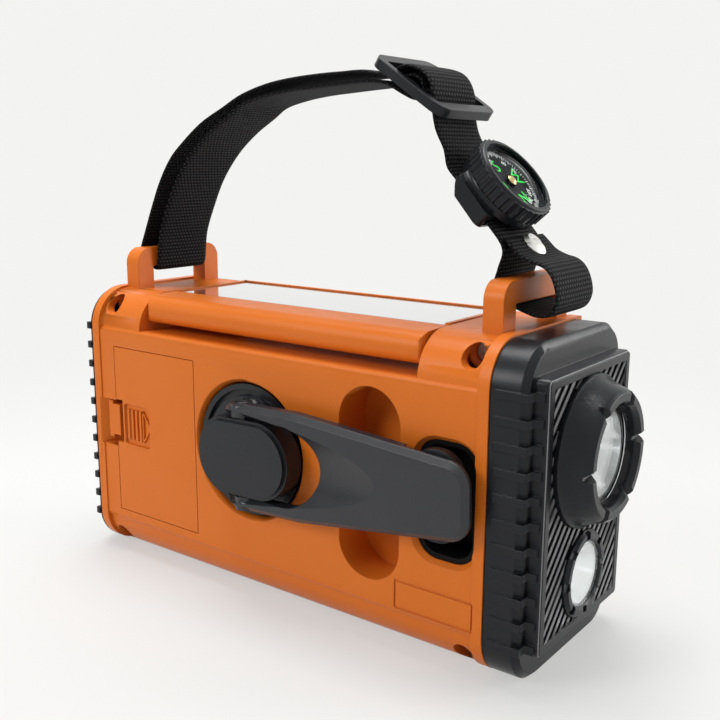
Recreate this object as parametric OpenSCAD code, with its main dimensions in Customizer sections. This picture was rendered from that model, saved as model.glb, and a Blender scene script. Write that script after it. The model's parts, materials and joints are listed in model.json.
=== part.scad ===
// Hand crank weather radio: flip-up solar lid, fold-flat crank, torch end and strap with a compass.
// X runs along the case toward the torch, Y from the crank face to the dial face, Z up from the base.

/* [Case] */
// Length of the orange case between the end caps
case_l = 148; // [144:1:180]
// Depth over the crank face and the dial face
case_d = 55; // [54:0.5:70]
// Height of the case without the strap bridges
case_h = 87.5; // [86:0.5:105]
// Wall of the case and the end caps
wall = 2.4; // [1.8:0.1:3]
// How far the crank and dial faces stand proud
face_rise = 1; // [0.6:0.1:1.6]
// Radius of the long edges on the crank side
edge_back = 12; // [9:0.5:13]
// Radius of the long edges on the dial side
edge_front = 7; // [4:0.5:9]
// Where the two case halves part, from the middle of the depth
part_y = 4.7; // [2:0.1:6]
// Depth of the sunk top that takes the lid
lid_sink = 11.5; // [10:0.5:14]

/* [Strap bridges] */
// Width of the bridge along the case
bridge_w = 5.8; // [4.5:0.1:7]
// Span of the bridge over both legs
bridge_span = 36; // [34:0.5:38]
// Thickness of a leg
bridge_leg = 6.4; // [5.5:0.1:6.4]
// Height of the bridge over the case
bridge_h = 13; // [12:0.5:18]
// Clear height under the bar
bridge_gap = 7; // [6.5:0.5:9]
// Distance from the end of the case to the middle of the bridge
bridge_inset = 6.5; // [5:0.5:8]

/* [Screws] */
// Bore of the sunk screw holes
sink_d = 6; // [5.6:0.1:7]
// Shank of the case screws
screw_d = 2.8; // [2:0.1:3]
// Distance of the screws from the ends of the case
screw_in = 7; // [6:0.5:9]
// Distance of the screws from the top and the base
screw_up = 4.5; // [4:0.1:6]

/* [Battery door] */
// Width of the door
door_w = 37; // [36:0.5:42]
// Height of the door
door_h = 55.3; // [52:0.1:60]
// Thickness of the door
door_t = 2.4; // [1.8:0.1:3]
// Distance of the door from the end of the case
door_end = 9.75; // [9:0.25:12]
// Diameter of one cell
cell_d = 10.5; // [9.5:0.1:10.8]
// Length of one cell
cell_l = 44.5; // [40:0.5:46]

/* [Crank] */
// Radius of the round crank recess
recess_r = 20.3; // [19:0.1:22]
// Depth of the crank recess below the face
recess_deep = 11; // [10:0.5:12]
// Gap around the turning hub
hub_gap = 0.6; // [0.4:0.1:1]
// Length of the hub block
block_l = 34.3; // [32:0.1:36]
// Height of the hub block
block_h = 22.6; // [20:0.2:24]
// Thickness of the crank arm
arm_t = 4; // [3.6:0.1:5]
// Gap between the crank face and the arm
arm_off = 3.2; // [3:0.1:6]
// Width of the arm over the fork
fork_w = 31.4; // [30:0.2:36]
// Width of the arm at the knob
arm_end_w = 20.6; // [19:0.2:26]
// Upward tilt of the parked crank
park_tilt = 1.9; // [0:0.1:3]
// Diameter of the fold pin
fold_pin_d = 3.6; // [3:0.1:4]
// Diameter of the crank shaft
shaft_d = 6; // [5:0.1:7]
// Length of the hand knob across the arm
knob_l = 24; // [20:0.5:26]
// Width of the hand knob
knob_w = 15; // [13:0.5:16]
// Running clearance on radius
run = 0.05; // [0.03:0.01:0.08]

/* [Hollows beside the crank] */
// Width of the finger scoop
scoop_w = 20; // [18:0.5:21]
// Height of the finger scoop
scoop_h = 53.5; // [46:0.5:56]
// Depth of the finger scoop
scoop_deep = 12; // [9:0.5:12]
// Width of the knob well
well_w = 18; // [16:0.5:19]
// Height of the knob well
well_h = 32; // [29:0.5:36]
// Depth of the knob well
well_deep = 12; // [9:0.5:14]

/* [Gear train] */
// Module of the first gear pair
mod_a = 0.9; // [0.8:0.05:0.95]
// Module of the second gear pair
mod_b = 0.8; // [0.7:0.05:0.85]
// Teeth of the drive gear
teeth_drive = 46; // [40:1:47]
// Teeth of the idler gear
teeth_idler = 40; // [34:1:42]
// Teeth of both pinions
teeth_pinion = 12; // [12:1:13]
// Diameter of the generator
gen_d = 25; // [20:0.5:26]

/* [End caps] */
// Depth of the first block of a cap
cap_a = 9.7; // [8:0.1:12]
// Depth of the whole torch cap
cap_x = 14; // [13:0.1:18]
// How far the panel is set in from the faces
panel_in = 4; // [3.5:0.1:6]
// Depth of the flat cap at the other end
flat_cap = 4.8; // [4.4:0.1:6]
// Ribs on each side of a cap
rib_n = 11; // [7:1:11]
// How far the ribs stand out from the sides of a cap
rib_out = 0.5; // [0.3:0.1:0.6]
// Distance from rib to rib
rib_step = 6.4; // [5:0.1:6.5]
// Radius of the torch bezel at its base
bezel_r = 20; // [18:0.2:21]
// Radius of the torch lens
lens_r = 12.8; // [12:0.1:13.5]
// Height of the bezel over the panel
bezel_h = 8.1; // [7.5:0.1:10]
// Radius of the small lamp lens
lamp_r = 8.7; // [7:0.1:9]

/* [Lid] */
// Length of the lid
lid_l = 104; // [90:0.5:104]
// Front edge of the lid from the middle of the depth
lid_front = 21.5; // [19:0.5:21.5]
// Radius of the hinge barrel
barrel_r = 4.4; // [4.2:0.1:5.8]
// Diameter of the hinge pins
lid_pin_d = 3; // [2.5:0.1:4]

/* [Dial face] */
// Radius of the speaker grille
grille_r = 19; // [16:0.5:20]
// Width of the dial window
window_w = 76; // [60:1:78]
// Height of the dial window
window_h = 17; // [14:0.5:18]
// Radius of the tuning knob
tune_r = 12.5; // [10:0.1:13]
// Radius of the volume knob
volume_r = 9.5; // [8:0.1:11]
// Radius of the push buttons
button_r = 3.5; // [3:0.1:4]

/* [Antenna] */
// Diameter of the outer tube
tube_d = 6; // [5.5:0.1:6.4]
// Length of the outer tube
tube_l = 101; // [85:1:114]

/* [Strap] */
// Width of the webbing
web_w = 22; // [20:0.5:22]
// Thickness of the webbing
web_t = 1.2; // [0.9:0.1:1.3]
// Width of the slider across the strap
slider_w = 28; // [27.5:0.5:31]
// Length of the slider along the strap
slider_l = 26.5; // [25:0.5:28]
// Radius of the compass body
compass_r = 11.5; // [11:0.1:12]

/* [Hidden] */
$fn = 64;
orange = [0.80, 0.36, 0.10];
black = [0.07, 0.07, 0.075];
grey = [0.20, 0.20, 0.21];
steel = [0.72, 0.73, 0.74];

// Case planes
half_l = case_l / 2;
face = case_d / 2;
body_y = face - face_rise;
face_z0 = edge_back - 0.8;
face_z1 = case_h - edge_back + 0.5;
deck_z = case_h - lid_sink;
roof_z = deck_z - 2.8;
post_x = half_l - 15;
// Ledge for the antenna along the dial side
ledge_y = face - 5;
ant_z = deck_z - 1;
ledge_z = ant_z - 4.6;
ant_y = ledge_y + 0.4 + tube_d / 2;
ant_x = half_l - 10;
way_r = tube_d / 2 + 0.7;

// Battery bay
door_x0 = -half_l + door_end;
door_x1 = door_x0 + door_w;
door_z = case_h / 2 - 1.2;
seat = 1.5;
bay_y = -face + door_t + 0.8 + cell_d + 0.3;
cell_y = -face + door_t + 0.6 + cell_d / 2;
door_gap = 0.25;
latch_h = 13.5;
latch_z = case_h / 2 + 1.65;

// Crank places, with the arm, knob and pin measured outward from the crank face
hub_x = door_x1 + 1.4 + recess_r;
hub_z = case_h / 2 + 2.45;
hollow_z = case_h / 2 + 1.55;
hub_r = recess_r - hub_gap;
floor_y = -face + recess_deep;
well_x = half_l - 2.8 - well_w / 2;
scoop_x = well_x - well_w / 2 - 4.7 - scoop_w / 2;
arm_l = well_x - hub_x;
block_r = block_h / 2;
block_x0 = -12.8;
block_x1 = block_x0 + block_l;
fork_gap = 0.4;
pin_x = 2.5;
pass = rib_out + 0.3;
pin_off = (arm_off + arm_t + pass) / 2;
block_off = arm_off + arm_t + 0.8;
knuckle_r = pin_off - pass;
arm_edge = 1.5;
end_r = 6.2;
slot_end = block_x1 + 9.3;
hollow_r = 16;
hollow_lean = 9;
hollow_tip = block_x1 + 29.5;
knob_pin_d = 3.4;
knob_t = 3.6;
knob_room = pass + knob_t + 0.3;

// Gear places
gear_y = floor_y + wall + 2.8;
gear_t = 3.4;
idler_y = gear_y + gear_t + 0.7;
idler_t = 3;
plate_y = idler_y + idler_t + 1.2;
plate_t = 2;
dist_a = mod_a * (teeth_drive + teeth_pinion) / 2;
dist_b = mod_b * (teeth_idler + teeth_pinion) / 2;
idler_x = hub_x + dist_a;
gen_x = idler_x + dist_b;
axle_d = 3;
gen_shaft_d = 2;

// End cap planes
cap_mid = half_l + cap_a;
panel_x = half_l + cap_x;
panel_y = face - panel_in;
panel_h = 2 * bezel_r + 2 * lamp_r + 11.9;
panel_z0 = case_h / 2 + 1 - panel_h / 2;
panel_z1 = panel_z0 + panel_h;
panel_sink = 1;
torch_z = panel_z1 - bezel_r - 2;
lamp_z = panel_z0 + lamp_r + 5.2;
lens_seat = panel_x + bezel_h - 5.4;
left_x = half_l + flat_cap;

// Lid planes
barrel_y = -face + 7.5;
barrel_z = case_h - 0.4 - barrel_r;
lid_z0 = case_h - 8.5;
pocket_x = lid_l / 2 + 0.6;
glass_l = lid_l - 3;
glass_y0 = barrel_y + 8.6;
glass_y1 = lid_front - 1.2;
lid_reach = barrel_z + norm([lid_front - barrel_y, barrel_z - lid_z0]);

// Dial side planes
skin = face - wall - face_rise;
speaker_x = -half_l + 32;
speaker_z = case_h / 2 - 3.5;
dial_x = half_l - 12 - window_w / 2;
dial_z = ledge_z - 4.5 - window_h / 2;
knob_z = dial_z - window_h / 2 - 4 - tune_r - 2;
tune_x = half_l - 28;
volume_x = tune_x - 32;
band_x = half_l - 8;
button_x = speaker_x + grille_r + 11;
button_step = 11;
board_y = 14;
board_t = 1.6;
scale_y = board_y + 5;
pointer_y = scale_y + 1.5;

// Strap places, with z measured up from the top of the case
bridge_x = half_l - bridge_inset;
bridge_y = (edge_back - edge_front) / 2;
bridge_room = max(bridge_span / 2 - bridge_leg, web_w / 2 + 0.5);
slider_x = 37.5;
slider_z = case_h + 60.8;
slider_tilt = 33.5;
compass_x = bridge_x - 11.6;
compass_z = case_h + 32;
compass_tilt = 49;
rivet_tilt = 42;

module along_x(x0, x1) {
    translate([x0, 0, 0])
        rotate([90, 0, 90])
            linear_extrude(x1 - x0)
                children();
}

module along_y(y0, y1) {
    translate([0, y1, 0])
        rotate([90, 0, 0])
            linear_extrude(y1 - y0)
                children();
}

module rod_x(x0, x1, d, y, z) {
    translate([x0, y, z])
        rotate([0, 90, 0])
            cylinder(h = x1 - x0, d = d);
}

module rod_y(y0, y1, d, x, z) {
    translate([x, y0, z])
        rotate([-90, 0, 0])
            cylinder(h = y1 - y0, d = d);
}

module box(x0, x1, y0, y1, z0, z1) {
    translate([x0, y0, z0])
        cube([x1 - x0, y1 - y0, z1 - z0]);
}

// Rectangle with its own corner radius on the low and the high side of its first axis
module round_box(a0, a1, b0, b1, ra, rb) {
    polygon([[a0 + ra, b0], [a1 - rb, b0], [a1, b0 + rb], [a1, b1 - rb], [a1 - rb, b1], [a0 + ra, b1],
        [a0, b1 - ra], [a0, b0 + ra]]);
    for (b = [b0 + ra, b1 - ra])
        translate([a0 + ra, b])
            circle(ra);
    for (b = [b0 + rb, b1 - rb])
        translate([a1 - rb, b])
            circle(rb);
}

module rrect(w, h, r) {
    round_box(-w / 2, w / 2, -h / 2, h / 2, r, r);
}

// Section of the case, with the crank face and the dial face standing proud
module case_section() {
    round_box(-body_y, body_y, 0, case_h, edge_back, edge_front);
    polygon([[0, face_z0], [-body_y + 0.06, face_z0], [-face, face_z0 + 1.2], [-face, face_z1 - 1.2],
        [-body_y + 0.06, face_z1], [0, face_z1]]);
    polygon([[0, edge_front], [body_y, edge_front], [face, edge_front + 1.2], [face, ledge_z - 2.2],
        [body_y, ledge_z - 1], [0, ledge_z - 1]]);
}

module cavity_section(top) {
    intersection() {
        round_box(-body_y + wall, body_y - wall, wall, case_h - wall, edge_back - wall, edge_front - wall);
        translate([-face, 0])
            square([case_d, top]);
    }
}

module bridge_section() {
    translate([bridge_y, case_h])
        difference() {
            union() {
                round_box(-bridge_span / 2, bridge_span / 2, 1, bridge_h, 5, 5);
                translate([-bridge_span / 2, -wall])
                    square([bridge_span, wall + 7]);
            }
            translate([-bridge_room, 0])
                square([2 * bridge_room, bridge_gap]);
        }
}

// Whole tube of the case before it is parted
module case_tube() {
    difference() {
        union() {
            along_x(-half_l, half_l)
                case_section();
            for (s = [-1, 1])
                along_x(s * (half_l - 1.6) - 1.6, s * (half_l - 1.6) + 1.6)
                    round_box(-face - 0.4, face + 0.4, 0, case_h + 0.6, edge_back + 0.4, edge_front + 0.4);
            for (s = [-1, 1])
                along_x(s * bridge_x - bridge_w / 2, s * bridge_x + bridge_w / 2)
                    bridge_section();
        }
        along_x(-half_l - 1, half_l + 1)
            cavity_section(roof_z);
        for (s = [-1, 1])
            along_x(s * (half_l - 5) - 6, s * (half_l - 5) + 6)
                intersection() {
                    cavity_section(case_h - wall);
                    translate([-face, 0])
                        square([face + ledge_y - wall, case_h]);
                }
        // Sunk top for the lid, with wider pockets at the barrel ends
        box(-lid_l / 2 - 0.5, lid_l / 2 + 0.5, barrel_y, face + 5, deck_z, case_h + 20);
        box(-pocket_x, pocket_x, -face - 5, barrel_y + barrel_r + 1, deck_z, case_h + 20);
        rod_x(-pocket_x, pocket_x, 2 * barrel_r + 1.6, barrel_y, barrel_z);
    }
    for (s = [-1, 1])
        intersection() {
            rod_x(s > 0 ? pocket_x : -pocket_x - 7, s > 0 ? pocket_x + 7 : -pocket_x, lid_pin_d + 5, barrel_y, barrel_z);
            along_x(-half_l, half_l)
                case_section();
        }
}

module screw_places() {
    for (x = [-half_l + screw_in, half_l - screw_in], z = [screw_up, case_h - screw_up])
        translate([x, 0, z])
            children();
}

module stadium(w, h) {
    rrect(w, h, w / 2 - 0.01);
}

// Scoop and wells are boxed in behind the crank face
module rear_cups() {
    rod_y(-face + 1, floor_y + wall, 2 * recess_r + 4, hub_x, hub_z);
    translate([scoop_x, 0, hollow_z])
        along_y(-face + 1, -face + scoop_deep + wall - 0.4)
            stadium(scoop_w + 4, scoop_h + 4);
    box(door_x0 - 0.6, door_x1 + 0.6, -face + 1, bay_y + 1.6, door_z - door_h / 2 - 1, door_z + door_h / 2 + 1);
    box(door_x0 - 8.6, door_x0 + 1, -face + 1, -face + 6.4, latch_z - latch_h / 2 - 3, latch_z + latch_h / 2 + 1);
    screw_places()
        rod_y(-face + 8, part_y, sink_d + 1.6, 0, 0);
}

module rear_cuts() {
    rod_y(-face - 1, floor_y, 2 * recess_r, hub_x, hub_z);
    // Sloped rim of the crank recess
    translate([hub_x, -face - 0.01, hub_z])
        rotate([-90, 0, 0])
            cylinder(h = 1, r1 = recess_r + 1, r2 = recess_r);
    rod_y(floor_y - 1, floor_y + wall + 1, shaft_d + 2 * run, hub_x, hub_z);
    translate([scoop_x, 0, hollow_z])
        along_y(-face - 1, -face + scoop_deep)
            stadium(scoop_w, scoop_h);
    translate([well_x, 0, hollow_z]) {
        along_y(-face - 1, -face + 8)
            rrect(well_w, well_h, 6.5);
        hull() {
            along_y(-face - 0.1, -face)
                rrect(well_w + 2.4, well_h + 2.4, 7.7, $fn = 32);
            along_y(-face + 1.2, -face + 1.3)
                rrect(well_w, well_h, 6.5, $fn = 32);
        }
    }
    box(door_x0, door_x1, -face - 1, -face + door_t + 0.3, door_z - door_h / 2, door_z + door_h / 2);
    box(door_x0 + seat, door_x1 - seat, -face - 1, bay_y, door_z - door_h / 2 + seat, door_z + door_h / 2 - seat);
    box(door_x0 - 7.6, door_x0 + seat + 1, -face - 1, -face + 5, latch_z - latch_h / 2 - 2, latch_z + latch_h / 2);
    // Thin bare frame line near the lower corner
    along_y(-face - 1, -face + 0.4)
        difference() {
            translate([half_l - 14.75, face_z0 + 5.65])
                rrect(24.3, 8.3, 0.6);
            translate([half_l - 14.75, face_z0 + 5.65])
                rrect(22.9, 6.9, 0.4);
        }
    screw_places() {
        rod_y(-face - 1, -face + 13.5, sink_d, 0, 0);
        rod_y(-face, part_y + 1, screw_d + 0.2, 0, 0);
    }
    for (s = [-1, 1])
        rod_x(s > 0 ? pocket_x - 1 : -pocket_x - 5, s > 0 ? pocket_x + 5 : -pocket_x + 1,
            lid_pin_d + 2 * run, barrel_y, barrel_z);
}

module rear_shell() {
    color(orange)
        intersection() {
            difference() {
                union() {
                    case_tube();
                    intersection() {
                        rear_cups();
                        along_x(-half_l, half_l)
                            case_section();
                    }
                }
                rear_cuts();
            }
            box(-case_l, case_l, -case_d, part_y, -1, 2 * case_h);
        }
}

module grille_slots() {
    intersection() {
        circle(grille_r);
        for (k = [-4:4])
            translate([-grille_r, k * grille_r / 4.6 - 1])
                square([2 * grille_r, 2]);
    }
}

// Posts that hold the main board off the dial face
module board_posts() {
    for (p = [[button_x - 5.2, knob_z - button_step / 2], [button_x - 5.2, knob_z + button_step / 2],
        [half_l - 11, knob_z + 13], [half_l - 16.5, knob_z - 5.5]])
        rod_y(board_y + board_t, skin + 0.5, 5, p[0], p[1]);
}

// Groove at the left end, so that the folded antenna can be pulled out straight
module antenna_way() {
    rod_x(-left_x - 1, -half_l + 9, 2 * way_r, ant_y, ant_z);
    box(-left_x - 1, -half_l + 9, ant_y, case_d, ant_z - way_r, ant_z + way_r);
}

module front_shell() {
    color(orange)
        intersection() {
            difference() {
                union() {
                    case_tube();
                    box(-half_l, half_l, ledge_y - wall, body_y - 1, ledge_z - wall, deck_z);
                    screw_places()
                        rod_y(part_y, part_y + 13, sink_d + 1.2, 0, 0);
                    board_posts();
                }
                // Open ledge for the antenna
                box(-half_l + 8, half_l + 1, ledge_y, case_d, ledge_z, case_h + 1);
                antenna_way();
                rod_y(ledge_y - wall - 3, ledge_y + 1, 4 + 2 * run, ant_x, ant_z);
                translate([speaker_x, 0, speaker_z])
                    along_y(skin - 1, face + 1)
                        grille_slots();
                translate([dial_x, 0, dial_z])
                    along_y(skin - 1, face + 1)
                        rrect(window_w, window_h, 3);
                translate([dial_x, 0, dial_z])
                    along_y(face - 1.4, face + 1)
                        rrect(window_w + 3, window_h + 3, 4);
                rod_y(skin - 1, face + 1, 6 + 0.6, tune_x, knob_z);
                rod_y(skin - 1, face + 1, 6 + 0.6, volume_x, knob_z);
                box(band_x - 2.6, band_x + 2.6, skin - 1, face + 1, knob_z - 7, knob_z + 7);
                for (k = [-1:1])
                    rod_y(skin - 1, face + 1, 2 * button_r + 0.5, button_x, knob_z + k * button_step);
                screw_places()
                    rod_y(part_y - 1, part_y + 11, screw_d, 0, 0);
            }
            box(-case_l, case_l, part_y, case_d, -1, 2 * case_h);
        }
}

module case_screws() {
    color(steel)
        screw_places()
            difference() {
                union() {
                    rod_y(-face + 10.6, -face + 13.5, sink_d - 0.6, 0, 0);
                    rod_y(-face + 13, part_y + 10, screw_d, 0, 0);
                }
                for (a = [0, 90])
                    rotate([0, a, 0])
                        box(-1.5, 1.5, -face + 10, -face + 11.8, -0.35, 0.35);
            }
}

module battery_door() {
    pad_x = door_x0 + 10;
    color(orange)
        difference() {
            union() {
                box(door_x0 + door_gap, door_x1 - door_gap, -face, -face + door_t,
                    door_z - door_h / 2 + door_gap, door_z + door_h / 2 - door_gap);
            }
            box(door_x0 - 1, door_x0 + 3.2, -case_d, 0, latch_z - latch_h / 2 - 0.4, latch_z + latch_h / 2 + 0.4);
            difference() {
                translate([pad_x, 0, latch_z - 0.4])
                    along_y(-face - 1, -face + 0.8)
                        rrect(12, latch_h, 1.2);
                for (k = [0:3])
                    box(pad_x - 4.6 + 1.9 * k, pad_x - 3.7 + 1.9 * k, -face - 1, 0, latch_z - 5.4, latch_z + 4.6);
            }
        }
}

module battery_latch() {
    color(orange) {
        box(door_x0 - 4.2, door_x0 - 2.2, -face + 0.4, -face + 4.6, latch_z - latch_h / 2 + 0.6, latch_z + latch_h / 2 - 0.6);
        box(door_x0 - 2.3, door_x0 + 1.2, -face + 0.4, -face + 2.2, latch_z - latch_h / 2 + 1.6, latch_z + latch_h / 2 - 1.6);
    }
}

module battery_cells() {
    span = door_w - 2 * seat;
    for (k = [-1:1])
        translate([(door_x0 + door_x1) / 2 + k * span / 3, cell_y, door_z - cell_l / 2])
            color(k == 0 ? black : steel) {
                cylinder(h = cell_l - 1, d = cell_d);
                cylinder(h = cell_l, d = 3.6);
            }
}

module battery_contacts() {
    span = door_w - 2 * seat;
    room = (door_h - 2 * seat - cell_l) / 2;
    color(steel)
        for (k = [-1:1], s = [-1, 1])
            translate([(door_x0 + door_x1) / 2 + k * span / 3, cell_y, door_z + s * (cell_l / 2 + room)])
                mirror([0, 0, s > 0 ? 1 : 0]) {
                    translate([-4, -4, 0])
                        cube([8, 8, 0.6]);
                    cylinder(h = room, d1 = 7, d2 = 4);
                }
}

module knob_well() {
    color(black)
        translate([well_x, 0, hollow_z])
            difference() {
                along_y(-face + 1.6, -face + well_deep)
                    rrect(well_w, well_h, 6.5);
                along_y(-face + 1, -face + well_deep - 1.4)
                    rrect(well_w - 3, well_h - 3, 5);
            }
}

// The whole crank is tilted a little about its shaft, as it is parked
module crank_pose() {
    translate([hub_x, -face, hub_z])
        rotate([0, -park_tilt, 0])
            children();
}

// Block of the hub: round toward the knob, flatter and cornered at the other end
module block_outline(grow) {
    r = block_r + grow;
    far = block_x1 - block_r;
    translate([far, 0])
        circle(r);
    translate([0, -r])
        square([far, 2 * r]);
    intersection() {
        translate([block_x0 - grow, -r])
            square([1 - block_x0, 2 * r]);
        translate([block_x0 + block_r + 0.8, 0])
            circle(r + 0.8);
    }
}

module crank_hub() {
    color(black)
        crank_pose()
            difference() {
                union() {
                    rod_y(1, recess_deep - 0.6, 2 * hub_r, 0, 0);
                    rod_y(0.4, 1.4, 2 * hub_r - 5, 0, 0);
                    along_y(-block_off + 1, -1)
                        block_outline(0);
                    along_y(-1.1, 4)
                        intersection() {
                            block_outline(0);
                            circle(hub_r);
                        }
                    along_y(-block_off, -block_off + 1.2)
                        block_outline(-1);
                }
                rod_y(4, 20, shaft_d, 0, 0);
                // Ring groove that leaves the hub a rim
                along_y(0, 2.4)
                    difference() {
                        circle(hub_r - 1.6);
                        circle(hub_r - 3.6);
                        block_outline(0.8);
                    }
                translate([pin_x, -pin_off, -fork_w])
                    cylinder(h = 2 * fork_w, d = fold_pin_d);
                // Troughs that let the ends of the fork swing past
                for (s = [0, 1])
                    mirror([0, 0, s])
                        translate([pin_x, -pin_off, block_r + 0.1])
                            cylinder(h = fork_w / 2 - block_r + 0.3, r = 6);
            }
}

module crank_shaft() {
    color(steel)
        rod_y(-face + 4, plate_y + plate_t, shaft_d, hub_x, hub_z);
}

module crank_fold_pin() {
    color(steel)
        crank_pose()
            translate([pin_x, -pin_off, -fork_w / 2 + 0.4])
                cylinder(h = fork_w - 0.8, d = fold_pin_d);
}

module arm_outline(inset) {
    for (s = [-1, 1]) {
        translate([1, s * (fork_w / 2 - 4)])
            circle(4 - inset);
        translate([block_x1 + 2, s * (fork_w / 2 - 4.3)])
            circle(4 - inset);
        translate([arm_l + 4.3, s * (arm_end_w / 2 - end_r)])
            circle(end_r - inset);
    }
}

module crank_arm() {
    slot_r = block_r + fork_gap;
    color(grey)
        crank_pose()
            difference() {
                union() {
                    difference() {
                        hull() {
                            along_y(-arm_off - arm_t + arm_edge, -arm_off)
                                arm_outline(0);
                            along_y(-arm_off - arm_t, -arm_off)
                                arm_outline(arm_edge);
                        }
                        // Scooped hollow that runs out to a point toward the knob
                        translate([hollow_tip, -arm_off - arm_t, 0])
                            rotate([0, 0, -hollow_lean])
                                translate([-hollow_tip - 20, -hollow_r, 0])
                                    rotate([0, 90, 0])
                                        cylinder(h = hollow_tip + 34, r = hollow_r);
                    }
                    for (s = [-1, 1])
                        translate([pin_x, -pin_off, s > 0 ? slot_r : -fork_w / 2])
                            cylinder(h = fork_w / 2 - slot_r, r = knuckle_r);
                }
                along_y(-40, 0) {
                    translate([slot_end - slot_r, 0])
                        circle(slot_r);
                    translate([-40, -slot_r])
                        square([40 + slot_end - slot_r, 2 * slot_r]);
                }
                translate([pin_x, -pin_off, -fork_w])
                    cylinder(h = 2 * fork_w, d = fold_pin_d + 2 * run);
                // Room under the end for the turning knob
                rod_y(-knob_room, 0, 2 * norm([knob_w, knob_l]) / 2 + 1, arm_l, 0);
                rod_y(-arm_off - arm_t + 1.2, 0, knob_pin_d, arm_l, 0);
            }
}

module crank_knob() {
    color(black)
        crank_pose()
            translate([arm_l, 0, 0])
                difference() {
                    union() {
                        along_y(-pass - knob_t, -pass - 1)
                            rrect(knob_w, knob_l, knob_w / 2 - 0.5);
                        along_y(-pass - 1.1, -pass)
                            rrect(knob_w - 2, knob_l - 2, knob_w / 2 - 1.5);
                    }
                    rod_y(-arm_off - arm_t, 0, knob_pin_d + 2 * run, 0, 0);
                    rod_y(-pass - 1.6, 0, 7, 0, 0);
                }
}

module crank_knob_pin() {
    color(steel)
        crank_pose() {
            rod_y(-arm_off - arm_t + 1.2, -pass - 0.4, knob_pin_d, arm_l, 0);
            rod_y(-pass - 1.3, -pass - 0.3, 6, arm_l, 0);
        }
}

// Involute gear with its teeth thinned for running clearance
function inv_point(rb, t) = [rb * (cos(t) + t * PI / 180 * sin(t)), rb * (sin(t) - t * PI / 180 * cos(t))];
function turn(p, a) = [p[0] * cos(a) - p[1] * sin(a), p[0] * sin(a) + p[1] * cos(a)];
function inv_angle(rb, r) = sqrt(r * r / rb / rb - 1) * 180 / PI;
function inv_polar(a) = tan(a) * 180 / PI - a;

module gear_outline(m, n, thin) {
    press = 25;
    rp = m * n / 2;
    rb = rp * cos(press);
    ra = rp + 0.85 * m;
    rf = rp - 1.15 * m;
    lean = 90 / n + inv_polar(press) - thin / rp * 90 / PI;
    t0 = rf > rb ? inv_angle(rb, rf) : 0;
    t1 = inv_angle(rb, ra);
    flank = [for (k = [0:4]) inv_point(rb, t0 + (t1 - t0) * k / 4)];
    root = rf > rb ? [] : [[rf * cos(0), 0]];
    side = concat(root, flank);
    points = [for (i = [0:n - 1]) each concat(
        [for (p = side) turn(p, 360 * i / n - lean)],
        [for (k = [len(side) - 1:-1:0]) turn([side[k][0], -side[k][1]], 360 * i / n + lean)])];
    polygon(points);
}

module drive_gear() {
    color([0.9, 0.88, 0.8])
        translate([hub_x, 0, hub_z])
            difference() {
                union() {
                    along_y(gear_y, gear_y + gear_t)
                        gear_outline(mod_a, teeth_drive, 0.16);
                    rod_y(gear_y - 0.6, gear_y + gear_t + 0.4, shaft_d + 6, 0, 0);
                }
                rod_y(gear_y - 2, gear_y + gear_t + 2, shaft_d, 0, 0);
                for (k = [0:5])
                    rotate([0, 60 * k, 0])
                        rod_y(gear_y - 1, gear_y + gear_t + 1, 7, 12, 0);
            }
}

module idler_gear() {
    color([0.9, 0.88, 0.8])
        translate([idler_x, 0, hub_z])
            difference() {
                union() {
                    along_y(gear_y - 0.3, idler_y)
                        rotate(180 + 180 / teeth_pinion)
                            gear_outline(mod_a, teeth_pinion, 0.16);
                    along_y(idler_y, idler_y + idler_t)
                        gear_outline(mod_b, teeth_idler, 0.16);
                }
                rod_y(gear_y - 2, idler_y + idler_t + 1, axle_d + 2 * run, 0, 0);
            }
}

module idler_axle() {
    color(steel)
        rod_y(gear_y - 1, plate_y + plate_t, axle_d, idler_x, hub_z);
}

module gear_plate() {
    color([0.55, 0.55, 0.5])
        difference() {
            union() {
                along_y(plate_y, plate_y + plate_t)
                    translate([(door_x1 + gen_x) / 2, hub_z])
                        rrect(gen_x - door_x1 + 30, 2 * (roof_z - hub_z - 2.3), 8);
                for (z = [-1, 1]) {
                    rod_y(bay_y + 1.6, plate_y + 1, 6, door_x1 - 5, hub_z + z * 21);
                    rod_y(-face + scoop_deep + wall - 0.4, plate_y + 1, 6, scoop_x, hub_z + z * 20.5);
                }
            }
            rod_y(plate_y - 1, plate_y + plate_t + 1, shaft_d + 2 * run, hub_x, hub_z);
            rod_y(plate_y - 1, plate_y + plate_t + 1, axle_d, idler_x, hub_z);
            rod_y(plate_y - 1, plate_y + plate_t + 1, 8, gen_x, hub_z);
        }
}

module generator() {
    color(steel)
        difference() {
            union() {
                rod_y(plate_y + plate_t, plate_y + plate_t + 12, gen_d, gen_x, hub_z);
                rod_y(plate_y + 0.4, plate_y + plate_t + 1, 7, gen_x, hub_z);
            }
            rod_y(plate_y - 1, plate_y + plate_t + 9, gen_shaft_d + 2 * run, gen_x, hub_z);
        }
}

module generator_pinion() {
    color([0.75, 0.6, 0.3])
        translate([gen_x, 0, hub_z]) {
            along_y(idler_y - 0.4, idler_y + idler_t + 0.3)
                rotate(180 + 180 / teeth_pinion)
                    gear_outline(mod_b, teeth_pinion, 0.16);
            rod_y(idler_y - 0.4, plate_y + plate_t + 8.5, gen_shaft_d, 0, 0);
        }
}

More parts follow.
